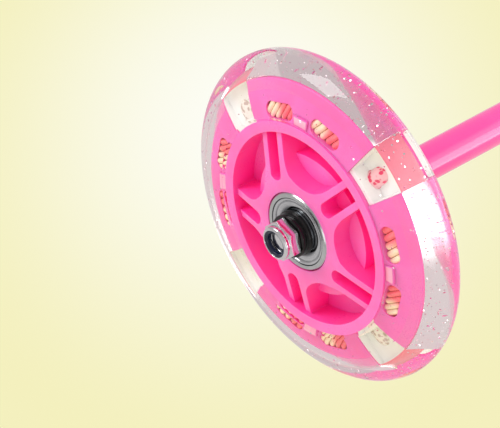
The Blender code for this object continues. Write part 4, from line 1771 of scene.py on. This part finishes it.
@dataclass
class Studio:
    """Camera, floor, world and lamps."""

    middle: float
    azimuth: float = math.radians(47.876)
    elevation: float = math.radians(35.81)
    target_depth: float = 11 * MM
    distance: float = 1.28435
    aside: float = -12.051 * MM
    above: float = 4.625 * MM
    lens: float = 360.0
    sensor: float = 36.0
    clip: Point = (0.05, 20.0)
    floor_size: float = 12.0
    floor_depth: float = 0.45
    glow_above: float = 0.018
    glow_reach: float = 0.143
    cream: str = "F4F0BE"
    palest: str = "FDFDF5"
    floor_in_glass: Triple = (0.72, 0.69, 0.68)
    far_floor_in_glass: Triple = (2.6, 2.6, 2.6)
    far_floor: Point = (0.9, 3.0)
    room: Triple = (0.62, 0.58, 0.585)
    bright_side: Point = (0.6, 0.85)
    bright: Triple = (1.8, 1.8, 1.8)
    bright_through_glass: Triple = (6.0, 6.0, 6.0)
    soft_light: Triple = (1.0, 1.0, 0.99)
    strength: float = 0.92
    lamp_distance: float = 0.8

    @property
    def right(self) -> Vector:
        """The camera's right."""
        return Vector((math.cos(self.azimuth), math.sin(self.azimuth), 0))

    @property
    def back(self) -> Vector:
        """From what is looked at to the camera."""
        a, e = self.azimuth, self.elevation
        return Vector((math.sin(a) * math.cos(e), -math.cos(a) * math.cos(e), math.sin(e)))

    @property
    def up(self) -> Vector:
        """The camera's up."""
        return self.back.cross(self.right)

    @property
    def target(self) -> Vector:
        """The centre of the front bearing's face."""
        return Vector((0, self.middle - self.target_depth, 0))

    @property
    def place(self) -> Vector:
        """Where the camera stands."""
        return self.target + self.back * self.distance + self.right * self.aside + self.up * self.above

    def camera(self) -> None:
        """Adds the camera."""
        bpy.ops.object.camera_add()
        made = bpy.context.object
        turn = Matrix((self.right, self.up, self.back)).transposed().to_4x4()
        made.matrix_world = Matrix.Translation(self.place) @ turn
        made.data.lens = self.lens
        made.data.sensor_width = self.sensor
        made.data.clip_start, made.data.clip_end = self.clip
        bpy.context.scene.camera = made

    def lamp(self, name: str, way: Triple, size: Point, power: float) -> None:
        """Adds a soft rectangular lamp that points at the wheel.

        Args:
            name: its name.
            way: its direction from the wheel.
            size: its width and height.
            power: its power in watts.
        """
        ray = Vector(way)
        bpy.ops.object.light_add(type="AREA", location=self.target + ray.normalized() * self.lamp_distance)
        made = bpy.context.object
        made.name = name
        made.rotation_euler = ray.to_track_quat("Z", "Y").to_euler()
        made.data.shape = "RECTANGLE"
        made.data.size, made.data.size_y = size
        made.data.energy = power
        made.visible_transmission = False

    def floor_cream(self, nodes: Nodes) -> Any:
        """Makes the floor's colour, which is palest behind the wheel's upper left.

        Args:
            nodes: the floor's node tree.

        Returns:
            The colour's socket.
        """
        way = self.up * self.glow_above - self.back
        centre = self.place + way * ((self.place.z + self.floor_depth) / -way.z)
        values = {
            "Vector": nodes.place(),
            "Location": (centre.x, centre.y, 0),
            "Rotation": (0, 0, self.azimuth),
            "Scale": (1, 1 / self.back.z, 1),
        }
        shifted = nodes.add("ShaderNodeMapping", {"vector_type": "TEXTURE"}, values)
        length = nodes.add("ShaderNodeVectorMath", {"operation": "LENGTH"}, {0: shifted.outputs[0]})
        away = Wire(nodes, length.outputs["Value"]).between(0.0, self.glow_reach)
        return nodes.blend(away, linear(self.palest), linear(self.cream))

    def floor(self) -> None:
        """Adds the floor: cream to the eye, and a plain pale tone in metal and glass."""
        bpy.ops.mesh.primitive_plane_add(size=self.floor_size, location=(0, 0, -self.floor_depth))
        made = bpy.context.object
        made.name = "floor"
        look = bpy.data.materials.new("cream floor")
        nodes = Nodes(look)
        cream = self.floor_cream(nodes)
        path = nodes.add("ShaderNodeLightPath").outputs
        bounced = nodes.maths("MAXIMUM", path["Is Glossy Ray"], path["Is Transmission Ray"])
        far = nodes.share(nodes.place(), self.right).between(*self.far_floor)
        mirror = nodes.blend(far, self.floor_in_glass, self.far_floor_in_glass)
        glow = nodes.add("ShaderNodeEmission", {}, {"Color": nodes.blend(bounced, cream, mirror)})
        flat = nodes.add("ShaderNodeBsdfDiffuse", {}, {"Color": cream})
        glowing = nodes.maths("MAXIMUM", path["Is Camera Ray"], bounced)
        mix = nodes.add("ShaderNodeMixShader", {}, {0: glowing, 1: flat.outputs[0], 2: glow.outputs[0]})
        nodes.add("ShaderNodeOutputMaterial", {}, {"Surface": mix.outputs[0]})
        made.data.materials.append(look)

    def world(self) -> None:
        """Lights the scene from all round with soft white, and brighter from the right in metal and glass."""
        made = bpy.data.worlds.new("soft white")
        nodes = Nodes(made)
        way = nodes.add("ShaderNodeTexCoord").outputs["Generated"]
        lit = nodes.share(way, self.right).between(*self.bright_side)
        path = nodes.add("ShaderNodeLightPath").outputs
        bright = nodes.blend(path["Is Transmission Ray"], self.bright, self.bright_through_glass)
        seen = nodes.blend(lit, self.room, bright)
        colour = nodes.blend(path["Is Diffuse Ray"], seen, self.soft_light)
        colour = nodes.blend(path["Is Camera Ray"], colour, linear(self.cream))
        glow = nodes.add("ShaderNodeBackground", {}, {"Color": colour, "Strength": self.strength})
        nodes.add("ShaderNodeOutputWorld", {}, {"Surface": glow.outputs[0]})
        bpy.context.scene.world = made

    def build(self) -> None:
        """Sets up the whole studio."""
        Bench.tidy()
        self.camera()
        self.floor()
        self.world()
        self.lamp("key", (-0.5, -0.55, 0.65), size=(0.3, 0.45), power=2.3)
        self.lamp("side", (0.848, 0.53, 0.1), size=(0.6, 0.5), power=1.7)
        self.lamp("fill", (0.6, -0.78, -0.1), size=(0.4, 0.4), power=0.5)
        scene = bpy.context.scene
        scene.view_settings.view_transform = "Standard"
        scene.cycles.max_bounces = 32
        scene.cycles.diffuse_bounces = 16
        scene.cycles.glossy_bounces = 32
        scene.cycles.transmission_bounces = 32
        scene.cycles.transparent_max_bounces = 24


def main() -> None:
    """Builds every piece, then the studio."""
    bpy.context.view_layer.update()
    placing = Placing.measured()
    hub = Hub()
    hub.dress(placing)
    Tyre().dress(hub, placing)
    LampRing().dress(hub, placing)
    for side in Side:
        Bearing().dress(side, placing)
    Axle().dress(placing)
    Studio(placing.middle).build()
    Bench.tidy()


if __name__ == "__main__":
    logging.basicConfig(level=logging.INFO, format="%(message)s")
    main()
